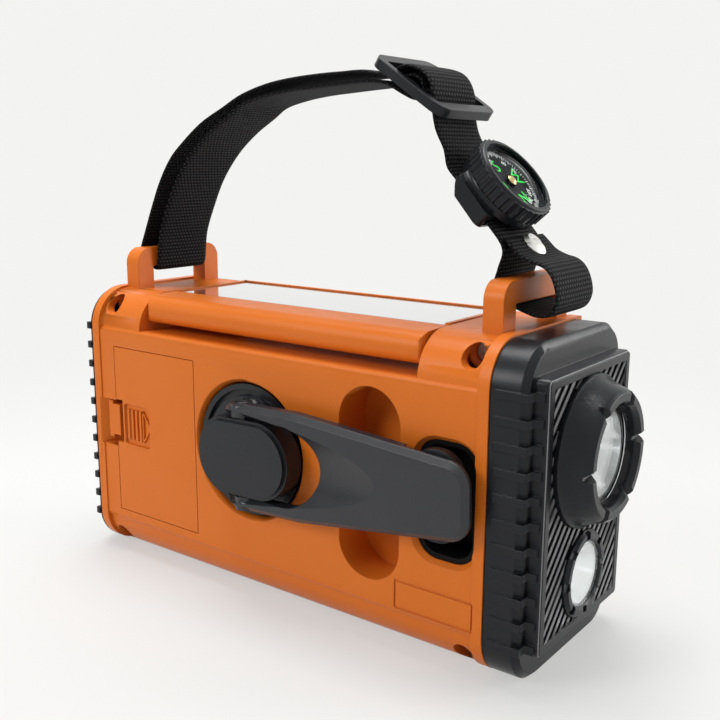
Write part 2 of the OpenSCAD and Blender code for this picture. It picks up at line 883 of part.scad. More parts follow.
module torch_cap_body() {
    difference() {
        union() {
            hull() {
                along_x(half_l, cap_mid - 1.6)
                    round_box(-face, face, 0, case_h, edge_back, edge_front + 3, $fn = 48);
                along_x(half_l, cap_mid)
                    round_box(-face + 1.6, face - 1.6, 1.6, case_h - 1.6, edge_back - 1.6, edge_front + 1.4, $fn = 48);
            }
            hull() {
                along_x(cap_mid - 1, panel_x - 0.8)
                    round_box(-panel_y - 0.6, panel_y + 0.6, panel_z0 - 0.6, panel_z1 + 0.6, 1.6, 1.6, $fn = 24);
                along_x(cap_mid - 1, panel_x)
                    round_box(-panel_y, panel_y, panel_z0, panel_z1, 1, 1, $fn = 24);
            }
            for (k = [0:rib_n - 1], s = [-1, 1])
                translate([0, 0, case_h / 2 + (k - (rib_n - 1) / 2) * rib_step - 1.1]) {
                    box(half_l + 1.6, cap_mid + 0.9, s > 0 ? face - 4 : -face - rib_out, s > 0 ? face + rib_out : -face + 4, 0, 2.2);
                    box(cap_mid - 2, panel_x - 1.2, s > 0 ? panel_y - 2 : -panel_y - 1.5, s > 0 ? panel_y + 1.5 : -panel_y + 2, 0, 2.2);
                }
        }
        along_x(half_l - 1, cap_mid - wall)
            round_box(-face + wall, face - wall, wall, case_h - wall, edge_back - wall, edge_front);
        along_x(cap_mid - wall - 1, panel_x - wall - panel_sink)
            round_box(-panel_y + wall, panel_y - wall, panel_z0 + wall, panel_z1 - wall, 1, 1);
        along_x(panel_x - panel_sink, panel_x + 1)
            round_box(-panel_y + 2, panel_y - 2, panel_z0 + 2, panel_z1 - 2, 0.6, 0.6);
    }
}

// Flat cap with its sides sloping in, and the ends of its ribs along the edge
module flat_cap_body() {
    slope = 5;
    difference() {
        union() {
            hull() {
                along_x(-half_l - 1.2, -half_l)
                    round_box(-face, face, 0, case_h, edge_back, edge_front + 3, $fn = 48);
                along_x(-left_x, -half_l)
                    round_box(-face + slope, face - slope, slope, case_h - slope, edge_back - slope, edge_front + 3 - slope, $fn = 48);
            }
            for (k = [0:rib_n - 1], s = [-1, 1])
                translate([0, 0, case_h / 2 + (k - (rib_n - 1) / 2) * rib_step - 1.1])
                    box(-half_l - 2.6, -half_l - 0.9, s > 0 ? face - 4 : -face - rib_out, s > 0 ? face + rib_out : -face + 4, 0, 2.2);
        }
        along_x(-left_x + wall, -half_l + 1)
            round_box(-face + slope + 0.4, face - slope - 0.4, slope + 0.4, case_h - slope - 0.4, edge_back - slope, edge_front - slope);
    }
}

// Spigots that sit inside the end of the case
module cap_spigots() {
    for (s = [0, 1])
        mirror([0, s, 0]) {
            box(half_l - 1, half_l + 1.4, body_y - wall - 2, body_y - wall - 0.2, edge_back + 2, ledge_z - wall - 2);
            box(half_l, half_l + 1.4, body_y - wall - 2, face - 1, edge_back + 2, ledge_z - wall - 2);
        }
}

module right_end_cap() {
    color(black)
        difference() {
            union() {
                torch_cap_body();
                cap_spigots();
                // Slanted ribs across the sunk panel
                along_x(panel_x - panel_sink - 0.1, panel_x - 0.3)
                    difference() {
                        intersection() {
                            round_box(-panel_y + 2, panel_y - 2, panel_z0 + 2, panel_z1 - 2, 0.6, 0.6);
                            for (k = [-13:13])
                                translate([0, case_h / 2 + k * 4])
                                    rotate(45)
                                        square([120, 1.2], center = true);
                        }
                        translate([0, torch_z])
                            circle(bezel_r + 0.2);
                        translate([0, lamp_z])
                            circle(lamp_r + 3.2);
                    }
            }
            rod_x(half_l, panel_x + 5, 2 * lens_r - 0.6, 0, torch_z);
            rod_x(half_l, panel_x + 5, 2 * lamp_r, 0, lamp_z);
        }
}

// Turned piece on an axis along X, drawn as radius against distance out from the panel floor
module turned(z) {
    translate([panel_x - panel_sink, 0, z])
        rotate([0, 90, 0])
            rotate_extrude()
                children();
}

module torch_bezel() {
    h = bezel_h + panel_sink;
    seat_h = lens_seat - panel_x + panel_sink;
    color(black)
        difference() {
            turned(torch_z)
                polygon([[lens_r - 0.7, 0], [bezel_r, 0], [bezel_r, 1.8], [bezel_r - 1, 2.6], [bezel_r - 3, h - 1],
                    [bezel_r - 4, h], [lens_r + 1.3, h], [lens_r, h - 1.6], [lens_r, seat_h], [lens_r - 0.7, seat_h]]);
            for (k = [0:5])
                translate([panel_x + bezel_h, 0, torch_z])
                    rotate([60 * k - 24, 0, 0])
                        translate([0, 0, lens_r - 1])
                            linear_extrude(bezel_r)
                                polygon([[-2.1, -0.45], [1, -1.9], [1, 1.9], [-2.1, 0.45]]);
        }
}

module torch_lens() {
    color([0.85, 0.9, 0.95, 0.4])
        rod_x(lens_seat, lens_seat + 1.6, 2 * lens_r - 0.1, 0, torch_z);
}

module dish(r, depth, neck) {
    turned_steps = 10;
    outer = [for (k = [0:turned_steps]) [neck + (r - neck) * sqrt(k / turned_steps), -depth * (1 - k / turned_steps)]];
    polygon(concat([for (p = outer) p], [for (k = [turned_steps:-1:0]) [outer[k][0] - 0.8, outer[k][1] + 0.3]]));
}

module torch_reflector() {
    color([0.93, 0.93, 0.95])
        translate([lens_seat - 0.4, 0, torch_z])
            rotate([0, 90, 0])
                rotate_extrude()
                    dish(lens_r - 0.7, 15, 3.6);
}

module torch_led() {
    color([0.95, 0.9, 0.5]) {
        rod_x(lens_seat - 17, lens_seat - 15.4, 16, 0, torch_z);
        rod_x(lens_seat - 16, lens_seat - 13.5, 4.6, 0, torch_z);
        translate([lens_seat - 13.5, 0, torch_z])
            sphere(d = 4.6);
    }
}

module lamp_ring() {
    color(black)
        difference() {
            turned(lamp_z)
                polygon([[lamp_r, 0], [lamp_r + 3, 0], [lamp_r + 3, 1.2], [lamp_r + 2.2, 2.2], [lamp_r + 0.8, 2.2],
                    [lamp_r, 1.6]]);
            for (k = [0:7])
                translate([panel_x - panel_sink + 2.2, 0, lamp_z])
                    rotate([45 * k, 0, 0])
                        box(-0.9, 2, -1.1, 1.1, lamp_r + 0.5, lamp_r + 4);
        }
}

module lamp_lens() {
    color([0.85, 0.9, 0.95, 0.4])
        rod_x(panel_x - panel_sink + 0.4, panel_x - panel_sink + 1.4, 2 * lamp_r, 0, lamp_z);
}

module lamp_reflector() {
    color([0.93, 0.93, 0.95])
        translate([panel_x - panel_sink + 0.1, 0, lamp_z])
            rotate([0, 90, 0])
                rotate_extrude()
                    dish(lamp_r, 7, 2.6);
}

port_w = 30;
port_h = 26;
port_z = case_h / 2;
port_pin = 3;

module left_end_cap() {
    color(black)
        difference() {
            union() {
                flat_cap_body();
                mirror([1, 0, 0])
                    cap_spigots();
                // Walls of the antenna's groove
                box(-half_l - 2.2, -half_l, ledge_y - wall, face - 2.6, ant_z - way_r - wall, ant_z + way_r + wall);
                // Pad that carries the sockets behind the cover
                box(-left_x + 0.1, -left_x + 8, -port_w / 2 - 3, port_w / 2 + 3, port_z - port_h / 2 - 3, port_z + port_h / 2 + 3);
            }
            antenna_way();
            box(-left_x - 5, -left_x + 4, -port_w / 2, port_w / 2, port_z - port_h / 2, port_z + port_h / 2);
            box(-left_x - 1, -left_x + 20, -9.5, 4.3, port_z - 3.3, port_z + 3.3);
            box(-left_x - 1, -left_x + 20, 5.7, 13.5, port_z - 2.1, port_z + 2.1);
        }
}

module port_cover() {
    color([0.12, 0.12, 0.125])
        difference() {
            union() {
                box(-left_x + 1.1, -left_x + 3.1, -port_w / 2 + 0.4, port_w / 2 - 0.4, port_z - port_h / 2 + 2, port_z + port_h / 2 - 0.4);
                rotate([0, 0, 90])
                    rod_x(-port_w / 2 + 0.4, port_w / 2 - 0.4, port_pin, left_x - 2.1, port_z - port_h / 2 + 2);
                // Finger lip
                box(-left_x + 0.2, -left_x + 1.4, -5, 5, port_z + port_h / 2 - 3.4, port_z + port_h / 2 - 1.6);
            }
        }
}

module usb_sockets() {
    color(steel)
        along_x(-left_x + 4.6, -left_x + 14) {
            difference() {
                translate([-2.6, port_z])
                    rrect(13.8, 6.6, 0.6);
                translate([-2.6, port_z])
                    rrect(12.6, 5.4, 0.4);
            }
            translate([-8.4, port_z - 2])
                square([11.6, 1.8]);
            difference() {
                translate([9.6, port_z])
                    rrect(7.8, 4.2, 1.2);
                translate([9.6, port_z])
                    rrect(6.8, 3.2, 0.8);
            }
            translate([6.8, port_z - 0.35])
                square([5.6, 0.7]);
        }
    color(steel)
        box(-left_x + 13.4, -left_x + 14.4, -9.4, 13.4, port_z - 3.2, port_z + 3.2);
}

module lid_section() {
    translate([barrel_y, barrel_z])
        circle(barrel_r);
    polygon([[barrel_y, barrel_z + barrel_r], [barrel_y + 3, barrel_z - 2], [barrel_y + 9, lid_z0],
        [lid_front - 5, lid_z0], [lid_front - 5, case_h - 0.1], [barrel_y + 8, case_h - 0.1]]);
    round_box(barrel_y + 10, lid_front, lid_z0, case_h - 0.1, 0.5, 3);
}

module solar_lid() {
    color(orange)
        difference() {
            intersection() {
                along_x(-lid_l / 2, lid_l / 2)
                    lid_section();
                linear_extrude(case_h + 1)
                    rotate(90)
                        round_box(barrel_y - barrel_r, lid_front, -lid_l / 2, lid_l / 2, 3, 0.6);
            }
            box(-glass_l / 2, glass_l / 2, glass_y0, glass_y1, case_h - 2.2, case_h + 1);
            box(-glass_l / 2 + 3, glass_l / 2 - 3, glass_y0 + 3, glass_y1 - 5, lid_z0 + 2.4, case_h - 1);
            box(-32, 32, -4, 14, lid_z0 - 1, lid_z0 + 2.4);
            for (s = [-1, 1])
                rod_x(s > 0 ? lid_l / 2 - 8 : -lid_l / 2 - 1, s > 0 ? lid_l / 2 + 1 : -lid_l / 2 + 8, lid_pin_d, barrel_y, barrel_z);
        }
}

module solar_panel() {
    color([0.03, 0.03, 0.05])
        box(-glass_l / 2 + 0.15, glass_l / 2 - 0.15, glass_y0 + 0.15, glass_y1 - 0.15, case_h - 2.2, case_h - 0.2);
}

module lid_hinge_pins() {
    color(steel)
        for (s = [-1, 1])
            rod_x(s > 0 ? lid_l / 2 - 8 : -pocket_x - 4, s > 0 ? pocket_x + 4 : -lid_l / 2 + 8, lid_pin_d, barrel_y, barrel_z);
}

module reading_lamp() {
    color([0.95, 0.95, 0.9])
        box(-32, 32, -4, 14, lid_z0 + 0.4, lid_z0 + 2.4);
}

module main_board() {
    color([0.05, 0.3, 0.12])
        difference() {
            union() {
                box(button_x - 8, half_l - 8, board_y, board_y + board_t, 23, ledge_z - 4);
                for (k = [0:2])
                    box(tune_x - 4 + 9 * k, tune_x + 2 + 9 * k, board_y + board_t - 0.1, board_y + 3.2, dial_z - 4, dial_z + 4);
                rod_y(board_y + 1, board_y + 7, 15, tune_x, knob_z);
                for (x = [max(button_x - 1, dial_x - window_w / 2 + 1), dial_x + window_w / 2 - 1], z = [-1, 1])
                    rod_y(board_y + 1, scale_y, 3, x, dial_z + z * (window_h / 2 - 2));
                rod_y(board_y + 1, board_y + 7, 15, volume_x, knob_z);
            }
            for (x = [tune_x, volume_x])
                rod_y(board_y + 3, board_y + 8, 6 + 2 * run, x, knob_z);
        }
}

module ferrite_bar() {
    color([0.15, 0.14, 0.14])
        rod_x(hub_x - 12, hub_x + 48, 8, board_y - 4, hub_z + gen_d / 2 + 4.5);
}

module rechargeable_cell() {
    color([0.2, 0.35, 0.6])
        rod_x(hub_x - 20, hub_x + 45, 18, 10, wall + 9);
}

module speaker() {
    color([0.15, 0.15, 0.16])
        translate([speaker_x, skin, speaker_z])
            rotate([90, 0, 0])
                rotate_extrude()
                    polygon([[0, 6], [5, 4], [grille_r - 3, 1], [grille_r - 1, 0], [grille_r + 1.6, 0], [grille_r + 1.6, 2.4],
                        [grille_r - 2, 3.6], [12, 9], [12, 14], [0, 14]]);
}

module dial_window() {
    color([0.8, 0.88, 0.9, 0.4])
        translate([dial_x, 0, dial_z]) {
            along_y(face - 1.4, face - 0.1)
                rrect(window_w + 2.8, window_h + 2.8, 3.9);
            along_y(face - 2.6, face - 1.3)
                rrect(window_w - 0.3, window_h - 0.3, 2.85);
        }
}

module dial_scale() {
    color([0.9, 0.9, 0.86])
        translate([dial_x, 0, dial_z])
            along_y(scale_y, scale_y + 1)
                rrect(window_w + 4, window_h + 4, 2);
}

module dial_pointer() {
    x0 = dial_x - window_w / 2 + 8;
    color([0.8, 0.1, 0.08]) {
        box(x0 - 0.6, x0 + 0.6, pointer_y, pointer_y + 0.8, dial_z - window_h / 2 - 1, dial_z + window_h / 2 - 1);
        box(x0 - 4, x0 + 4, pointer_y, pointer_y + 0.8, dial_z - window_h / 2 - 3, dial_z - window_h / 2);
    }
}

module grip_knob(r, h) {
    along_y(face + 0.5, face + h) {
        circle(r - 0.5);
        for (k = [0:23])
            rotate(15 * k)
                translate([r - 1, 0])
                    circle(1, $fn = 24);
    }
    translate([0, face + h - 0.1, 0])
        rotate([-90, 0, 0])
            cylinder(h = 1.2, r1 = r - 0.6, r2 = r - 1.8);
    rod_y(board_y + 3.3, face + 1, 6, 0, 0);
}

module tuning_knob() {
    color(black)
        translate([tune_x, 0, knob_z])
            grip_knob(tune_r, 8);
}

module volume_knob() {
    color(black)
        translate([volume_x, 0, knob_z])
            grip_knob(volume_r, 7);
}

module band_switch() {
    color(black) {
        box(band_x - 2.2, band_x + 2.2, skin - 0.4, face + 2.2, knob_z - 6.6, knob_z - 0.6);
        box(band_x - 4, band_x + 4, skin - 2, skin - 0.3, knob_z - 9, knob_z + 1.6);
    }
}

module push_button(k) {
    color(black)
        translate([button_x, 0, knob_z + k * button_step]) {
            rod_y(skin - 1.6, face + 1.4, 2 * button_r, 0, 0);
            rod_y(skin - 2, skin - 0.3, 2 * button_r + 2, 0, 0);
        }
}

module torch_button() {
    push_button(1);
}

module lamp_button() {
    push_button(0);
}

module alert_button() {
    push_button(-1);
}

module antenna_knuckle() {
    color([0.8, 0.8, 0.82]) {
        difference() {
            union() {
                rod_y(ledge_y + 0.4, ant_y + tube_d / 2 + 0.2, 8.4, ant_x, ant_z);
                rod_x(ant_x - 6, ant_x, tube_d, ant_y, ant_z);
            }
            rod_y(ant_y + tube_d / 2 - 0.8, ant_y + tube_d, 4.4, ant_x, ant_z);
        }
        rod_y(ledge_y - wall - 2.4, ledge_y + 1, 4, ant_x, ant_z);
    }
}

module antenna_tube() {
    color([0.8, 0.8, 0.82])
        difference() {
            rod_x(ant_x - 6 - tube_l, ant_x - 6, tube_d, ant_y, ant_z);
            rod_x(ant_x - 7 - tube_l, ant_x - 9, tube_d - 0.9, ant_y, ant_z);
        }
}

module antenna_middle() {
    color([0.82, 0.82, 0.84])
        difference() {
            rod_x(ant_x - 7.5 - tube_l, ant_x - 11, tube_d - 1.02, ant_y, ant_z);
            rod_x(ant_x - 9 - tube_l, ant_x - 13, tube_d - 2, ant_y, ant_z);
        }
}

module antenna_tip() {
    color([0.84, 0.84, 0.86]) {
        rod_x(ant_x - 9 - tube_l, ant_x - 15, tube_d - 2.12, ant_y, ant_z);
        rod_x(ant_x - 12.4 - tube_l, ant_x - 8.6 - tube_l, tube_d + 0.2, ant_y, ant_z);
        translate([ant_x - 13.5 - tube_l, ant_y, ant_z])
            rotate([0, 90, 0])
                cylinder(h = 1.2, d1 = tube_d - 1.6, d2 = tube_d + 0.2);
    }
}

// Strap route as steps from a bridge or from the middle, with height over the case
function left(x, z) = [-bridge_x + x, case_h + z];
function right(x, z) = [bridge_x + x, case_h + z];
function mid(x, z) = [slider_x + x, slider_z + z];
function on_compass(s) = [compass_x + s * cos(compass_tilt), compass_z - s * sin(compass_tilt)];
route = [
    mid(-4.5, 1.5), mid(-1.8, 2.7), mid(0.7, 2.6), mid(2.8, 0.85), mid(2.4, -1.6), mid(0.3, -3), mid(-3.3, -1.6),
    mid(-9, 1.1), mid(-16, 1.9), mid(-24, 1.6), mid(-34, 1), mid(-44, 0.3), mid(-53, -0.9), mid(-61.5, -2.9),
    left(37.5, 54.4), left(30, 50.1), left(23, 44.9), left(17.5, 39.3), left(13.2, 33.5), left(9.5, 26.5),
    left(5.7, 18), left(4.5, 11.5), left(4.2, 8.6), left(3.2, 6), left(0, 6.4), left(-3.2, 6), left(-4.2, 8.6),
    left(-4.1, 12), left(-1.2, 18.6), left(2.9, 27.4), left(6.8, 34.8), left(12, 41.9), left(18, 47),
    left(26.5, 52.8), left(35.4, 56.9), mid(-61.8, -0.4), mid(-52, 2.2), mid(-42.6, 3.5), mid(-32, 4.2),
    mid(-24, 4.4), mid(-17, 4.5), mid(-11.3, 3.6), mid(-8.2, 3), mid(-6.2, 4), mid(-3.3, 5.2), mid(-0.5, 5), mid(2.6, 3.8),
    mid(4.8, 1.5), mid(6.1, -2), mid(6.1, -5), mid(7.4, -11), mid(10, -16), on_compass(-11), on_compass(-7),
    on_compass(0), on_compass(7), right(-2.1, 20.6), right(-3.1, 15.4), right(-4.4, 11), right(-4.3, 8),
    right(-3.2, 6), right(0, 6.4), right(4, 5.2), right(8.2, 4.2), right(11.7, 5.2), right(13.2, 9),
    right(11.8, 13.9), right(9.2, 16.6), right(5.6, 17.6), right(2.5, 18.95), right(0.3, 20.9), right(-1.9, 22.9)];

function spline(p, i, t) =
    let (a = p[max(i - 1, 0)], b = p[i], c = p[i + 1], d = p[min(i + 2, len(p) - 1)])
    0.5 * (2 * b + (c - a) * t + (2 * a - 5 * b + 4 * c - d) * t * t + (3 * b - a - 3 * c + d) * t * t * t);
function unit(v) = v / norm(v);
strap_line = concat([for (i = [0:len(route) - 2], k = [0:1]) spline(route, i, k / 2)], [route[len(route) - 1]]);
strap_side = [for (i = [0:len(strap_line) - 1])
    let (d = unit(strap_line[min(i + 1, len(strap_line) - 1)] - strap_line[max(i - 1, 0)])) [-d[1], d[0]]];

module strap() {
    n = len(strap_line) - 1;
    color([0.06, 0.06, 0.065])
        along_y(bridge_y - web_w / 2, bridge_y + web_w / 2)
            polygon(concat([for (i = [0:n]) strap_line[i] + strap_side[i] * web_t / 2],
                [for (i = [n:-1:0]) strap_line[i] - strap_side[i] * web_t / 2]));
}

module strap_slider() {
    slot = slider_l / 2 - 5.2;
    color(black)
        translate([slider_x, bridge_y, slider_z])
            rotate([0, slider_tilt, 0])
                translate([0, 0, -1.3])
                    linear_extrude(2.6)
                        difference() {
                            rrect(slider_l, slider_w, 4);
                            for (s = [-1, 1])
                                translate([s * (1.8 + slot / 2), 0])
                                    rrect(slot, web_w + 1.5, 1);
                        }
}

module strap_rivet() {
    color(steel)
        translate([bridge_x + 0.3, bridge_y, case_h + 20.9])
            rotate([0, rivet_tilt, 0])
                translate([0, 0, web_t / 2 + 0.1])
                    difference() {
                        cylinder(h = 1.1, r1 = 3, r2 = 2.2);
                        translate([0, 0, 0.6])
                            cylinder(h = 2, d = 1.4);
                    }
}

module compass_pose() {
    translate([compass_x, bridge_y, compass_z])
        rotate([0, compass_tilt, 0])
            children();
}

module compass_body() {
    color(black)
        difference() {
            compass_pose()
                difference() {
                    union() {
                        translate([0, 0, -1.9])
                            linear_extrude(4.4)
                                rrect(14, web_w + 4, 2);
                        translate([0, 0, 1.3])
                            cylinder(h = 1.3, r1 = compass_r - 1.2, r2 = compass_r + 0.6);
                        translate([0, 0, 2.5])
                            cylinder(h = 2.2, r = compass_r + 0.6);
                        translate([0, 0, 4.6])
                            cylinder(h = 3.6, r = compass_r);
                    }
                    translate([-20, -web_w / 2 - 0.4, -1.1])
                        cube([40, web_w + 0.8, 2.2]);
                    difference() {
                        translate([0, 0, 5.5])
                            cylinder(h = 5, r = compass_r - 0.8);
                        translate([0, 0, 5])
                            cylinder(h = 2.2, d = 1.3);
                    }
                }
            // Flat on the sleeve that lets the raised lid pass
            box(0, lid_l / 2 + 0.4, barrel_y, lid_front, case_h, lid_reach + 0.4);
        }
}

module compass_bezel() {
    color(black)
        compass_pose()
            difference() {
                union() {
                    translate([0, 0, 4.9])
                        linear_extrude(4.2) {
                            circle(compass_r + 0.7);
                            for (k = [0:35])
                                rotate(10 * k)
                                    translate([compass_r + 0.5, 0])
                                        circle(0.6, $fn = 16);
                        }
                    translate([0, 0, 9])
                        cylinder(h = 0.8, r1 = compass_r + 0.6, r2 = compass_r);
                }
                translate([0, 0, 4])
                    cylinder(h = 4.9, r = compass_r);
                translate([0, 0, 4])
                    cylinder(h = 8, r = compass_r - 0.9);
            }
}

module compass_card() {
    color([0.05, 0.05, 0.055])
        compass_pose()
            translate([0, 0, 6.2])
                difference() {
                    union() {
                        cylinder(h = 0.7, r = compass_r - 1.3);
                        cylinder(h = 1.5, r = 1.6);
                    }
                    translate([0, 0, -0.1])
                        cylinder(h = 1.2, d = 1.3 + 2 * run);
                }
}

module compass_lens() {
    color([0.85, 0.9, 0.95, 0.35])
        compass_pose()
            translate([0, 0, 8.2])
                rotate_extrude()
                    intersection() {
                        union() {
                            square([compass_r - 0.1, 0.7]);
                            difference() {
                                translate([0, -18])
                                    circle(20.8);
                                translate([0, -18])
                                    circle(20);
                            }
                        }
                        square([compass_r - 0.1, 10]);
                        union() {
                            square([compass_r - 0.95, 10]);
                            square([compass_r, 0.7]);
                        }
                        difference() {
                            square([compass_r, 10]);
                            intersection() {
                                translate([0, -18])
                                    circle(20);
                                square([compass_r - 1.8, 10]);
                            }
                        }
                    }
}

rear_shell();
front_shell();
case_screws();
battery_door();
battery_latch();
battery_cells();
battery_contacts();
knob_well();
crank_hub();
crank_shaft();
crank_fold_pin();
crank_arm();
crank_knob();
crank_knob_pin();
drive_gear();
idler_gear();
idler_axle();
gear_plate();
generator();
generator_pinion();
right_end_cap();
torch_bezel();
torch_lens();
torch_reflector();
torch_led();
lamp_ring();
lamp_lens();
lamp_reflector();
left_end_cap();
port_cover();
usb_sockets();
solar_lid();
solar_panel();
lid_hinge_pins();
reading_lamp();
main_board();
ferrite_bar();
rechargeable_cell();
speaker();
dial_window();
dial_scale();
dial_pointer();
tuning_knob();
volume_knob();
band_switch();
torch_button();
lamp_button();
alert_button();
antenna_knuckle();
antenna_tube();
antenna_middle();
antenna_tip();
strap();
strap_slider();
strap_rivet();
compass_body();
compass_bezel();
compass_card();
compass_lens();
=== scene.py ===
"""Looks of a hand crank weather radio, laid out as an add-on and run as a script."""

import json
import math

import bmesh
import bpy
from mathutils import Matrix, Vector


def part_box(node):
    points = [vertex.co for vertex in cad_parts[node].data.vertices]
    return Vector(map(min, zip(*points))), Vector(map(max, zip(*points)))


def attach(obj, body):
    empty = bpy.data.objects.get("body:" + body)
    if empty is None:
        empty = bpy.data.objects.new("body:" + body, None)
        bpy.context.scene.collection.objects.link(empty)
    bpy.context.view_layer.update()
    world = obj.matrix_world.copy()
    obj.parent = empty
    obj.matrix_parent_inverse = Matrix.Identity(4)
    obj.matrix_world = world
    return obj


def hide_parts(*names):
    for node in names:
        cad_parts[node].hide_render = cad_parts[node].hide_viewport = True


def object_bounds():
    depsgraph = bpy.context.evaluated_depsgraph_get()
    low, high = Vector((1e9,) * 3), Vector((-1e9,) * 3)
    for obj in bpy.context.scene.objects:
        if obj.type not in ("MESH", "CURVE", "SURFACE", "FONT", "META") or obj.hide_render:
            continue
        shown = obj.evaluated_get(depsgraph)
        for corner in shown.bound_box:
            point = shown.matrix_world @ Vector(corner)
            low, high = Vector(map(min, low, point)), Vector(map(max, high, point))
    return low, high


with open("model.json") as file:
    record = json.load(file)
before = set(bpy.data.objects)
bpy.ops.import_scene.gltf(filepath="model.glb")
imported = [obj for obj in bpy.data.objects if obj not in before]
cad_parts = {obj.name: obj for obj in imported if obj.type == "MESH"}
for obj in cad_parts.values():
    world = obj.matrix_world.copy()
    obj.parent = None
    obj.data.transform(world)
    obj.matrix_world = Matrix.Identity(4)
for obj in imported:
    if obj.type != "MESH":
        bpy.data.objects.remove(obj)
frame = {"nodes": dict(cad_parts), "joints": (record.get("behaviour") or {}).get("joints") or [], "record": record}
CAD_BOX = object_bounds()
JOINTS = {j["name"]: j for j in frame["joints"]}
BODY_OF = {n: b for b, nodes in frame["record"]["behaviour"]["bodies"].items() for n in nodes}

bl_info = {
    "name": "Hand crank weather radio",
    "version": (1, 0, 0),
    "blender": (4, 5, 0),
    "location": "View3D > Sidebar > Radio",
    "description": "Dresses the packed radio with its finishes, webbing, compass, dial and stage",
    "category": "Object",
}

# Kinds of socket on the node groups
AS_COLOUR, AS_NUMBER, AS_COUNT = "NodeSocketColor", "NodeSocketFloat", "NodeSocketInt"
AS_SHAPE, AS_FINISH = "NodeSocketGeometry", "NodeSocketMaterial"


def mm(*v):
    """Millimetres to metres."""
    return v[0] / 1000 if len(v) == 1 else Vector(v) / 1000


# Settings

def colour(name, about, default):
    return bpy.props.FloatVectorProperty(
        name=name, description=about, default=default, size=3, min=0, max=1, subtype="COLOR")


def length(name, about, default):
    return bpy.props.FloatProperty(
        name=name, description=about, default=default, min=0, unit="LENGTH", subtype="DISTANCE", precision=5)


def factor(name, about, default):
    return bpy.props.FloatProperty(name=name, description=about, default=default, min=0, max=1, subtype="FACTOR")


def point(name, about, default):
    return bpy.props.FloatVectorProperty(
        name=name, description=about, default=default, size=3, unit="LENGTH", subtype="XYZ")


class RadioFinishes(bpy.types.PropertyGroup):
    """Colours and surface sizes of the radio"""
    orange: colour("Case", "Satin orange of the case, door and lid", (0.650, 0.148, 0.010))
    orange_pale: colour("Case, pale", "Paler cast in the moulded orange", (0.680, 0.165, 0.018))
    black: colour("Caps", "Satin black of the end caps, knobs and buckle", (0.0070, 0.0080, 0.0102))
    black_pale: colour("Caps, pale", "Paler cast in the moulded black", (0.0100, 0.0112, 0.0138))
    charcoal: colour("Crank arm", "Charcoal of the crank arm", (0.012, 0.013, 0.0165))
    charcoal_pale: colour("Crank arm, pale", "Paler cast in the charcoal", (0.017, 0.0185, 0.0225))
    gloss: colour("Hub block", "Smooth black of the crank's hub block", (0.010, 0.011, 0.013))
    # Painted highlight: pale colour on the rib crowns of the torch panel, for the light they catch
    rubbed: colour("Painted rib highlights", "Pale crowns of the ribs on the torch panel", (0.21, 0.21, 0.215))
    rib_drop: length("Rib drop", "How far the crowns of the ribs lie below the rim of the torch panel", 0.0003)
    webbing: colour("Webbing", "Black yarn of the strap", (0.002, 0.002, 0.0024))
    # Painted highlight: lighter colour for the glints on the yarn crowns
    yarn: colour("Painted yarn glints", "Painted glints on the crowns of the yarn", (0.060, 0.061, 0.066))
    cells: colour("Solar cells", "Blue black of the solar cells", (0.010, 0.012, 0.022))
    letters: colour("Compass letters", "Green of the four letters", (0.010, 0.52, 0.045))
    marks: colour("White marks", "White of numerals, ticks and lines", (0.80, 0.80, 0.78))
    edge: length("Edge", "Radius of the small moulded edges", 0.00035)
    grain: length("Grain", "Depth of the moulded grain", 0.000035)
    weave: length("Weave", "Depth of the woven relief", 0.00028)
    rib_pitch: length("Weave along", "Step of the weave along the strap", 0.00115)
    yarn_pitch: length("Weave across", "Step of the weave across the strap", 0.00135)


class RadioStage(bpy.types.PropertyGroup):
    """Camera, floor and light"""
    eye: point("Eye", "Place of the camera", (0.18258, -0.22268, 0.13035))
    aim: point("Aim", "Point that the camera looks at", (0.01472, 0, 0.07133))
    roll: bpy.props.FloatProperty(
        name="Roll", description="Turn of the camera about its view", default=math.radians(0.29), subtype="ANGLE")
    lens: bpy.props.FloatProperty(
        name="Lens", description="Focal length on a 36 mm frame, in millimetres", default=48.08, min=10,
        unit="CAMERA")
    floor: colour("Floor", "Pale surface that the radio stands on", (0.65, 0.65, 0.64))
    white: colour("White", "Near white of the floor as the camera sees it", (0.93, 0.93, 0.915))
    wall: colour("Backdrop", "Near white behind the radio", (0.90, 0.90, 0.885))
    glow: factor("Floor glow", "Share of plain white in what the camera sees of the floor by the radio", 0.5)
    sky: factor("Room light", "Strength of the even light from all sides", 0.40)
    dim: factor("Dim side", "What glossy faces mirror from the crank's side of the room", 0.16)


def finishes():
    return bpy.context.scene.radio_finishes


def shaded(base, by):
    """A colour made darker or paler by a factor."""
    return tuple(by * c for c in base)


# Nodes

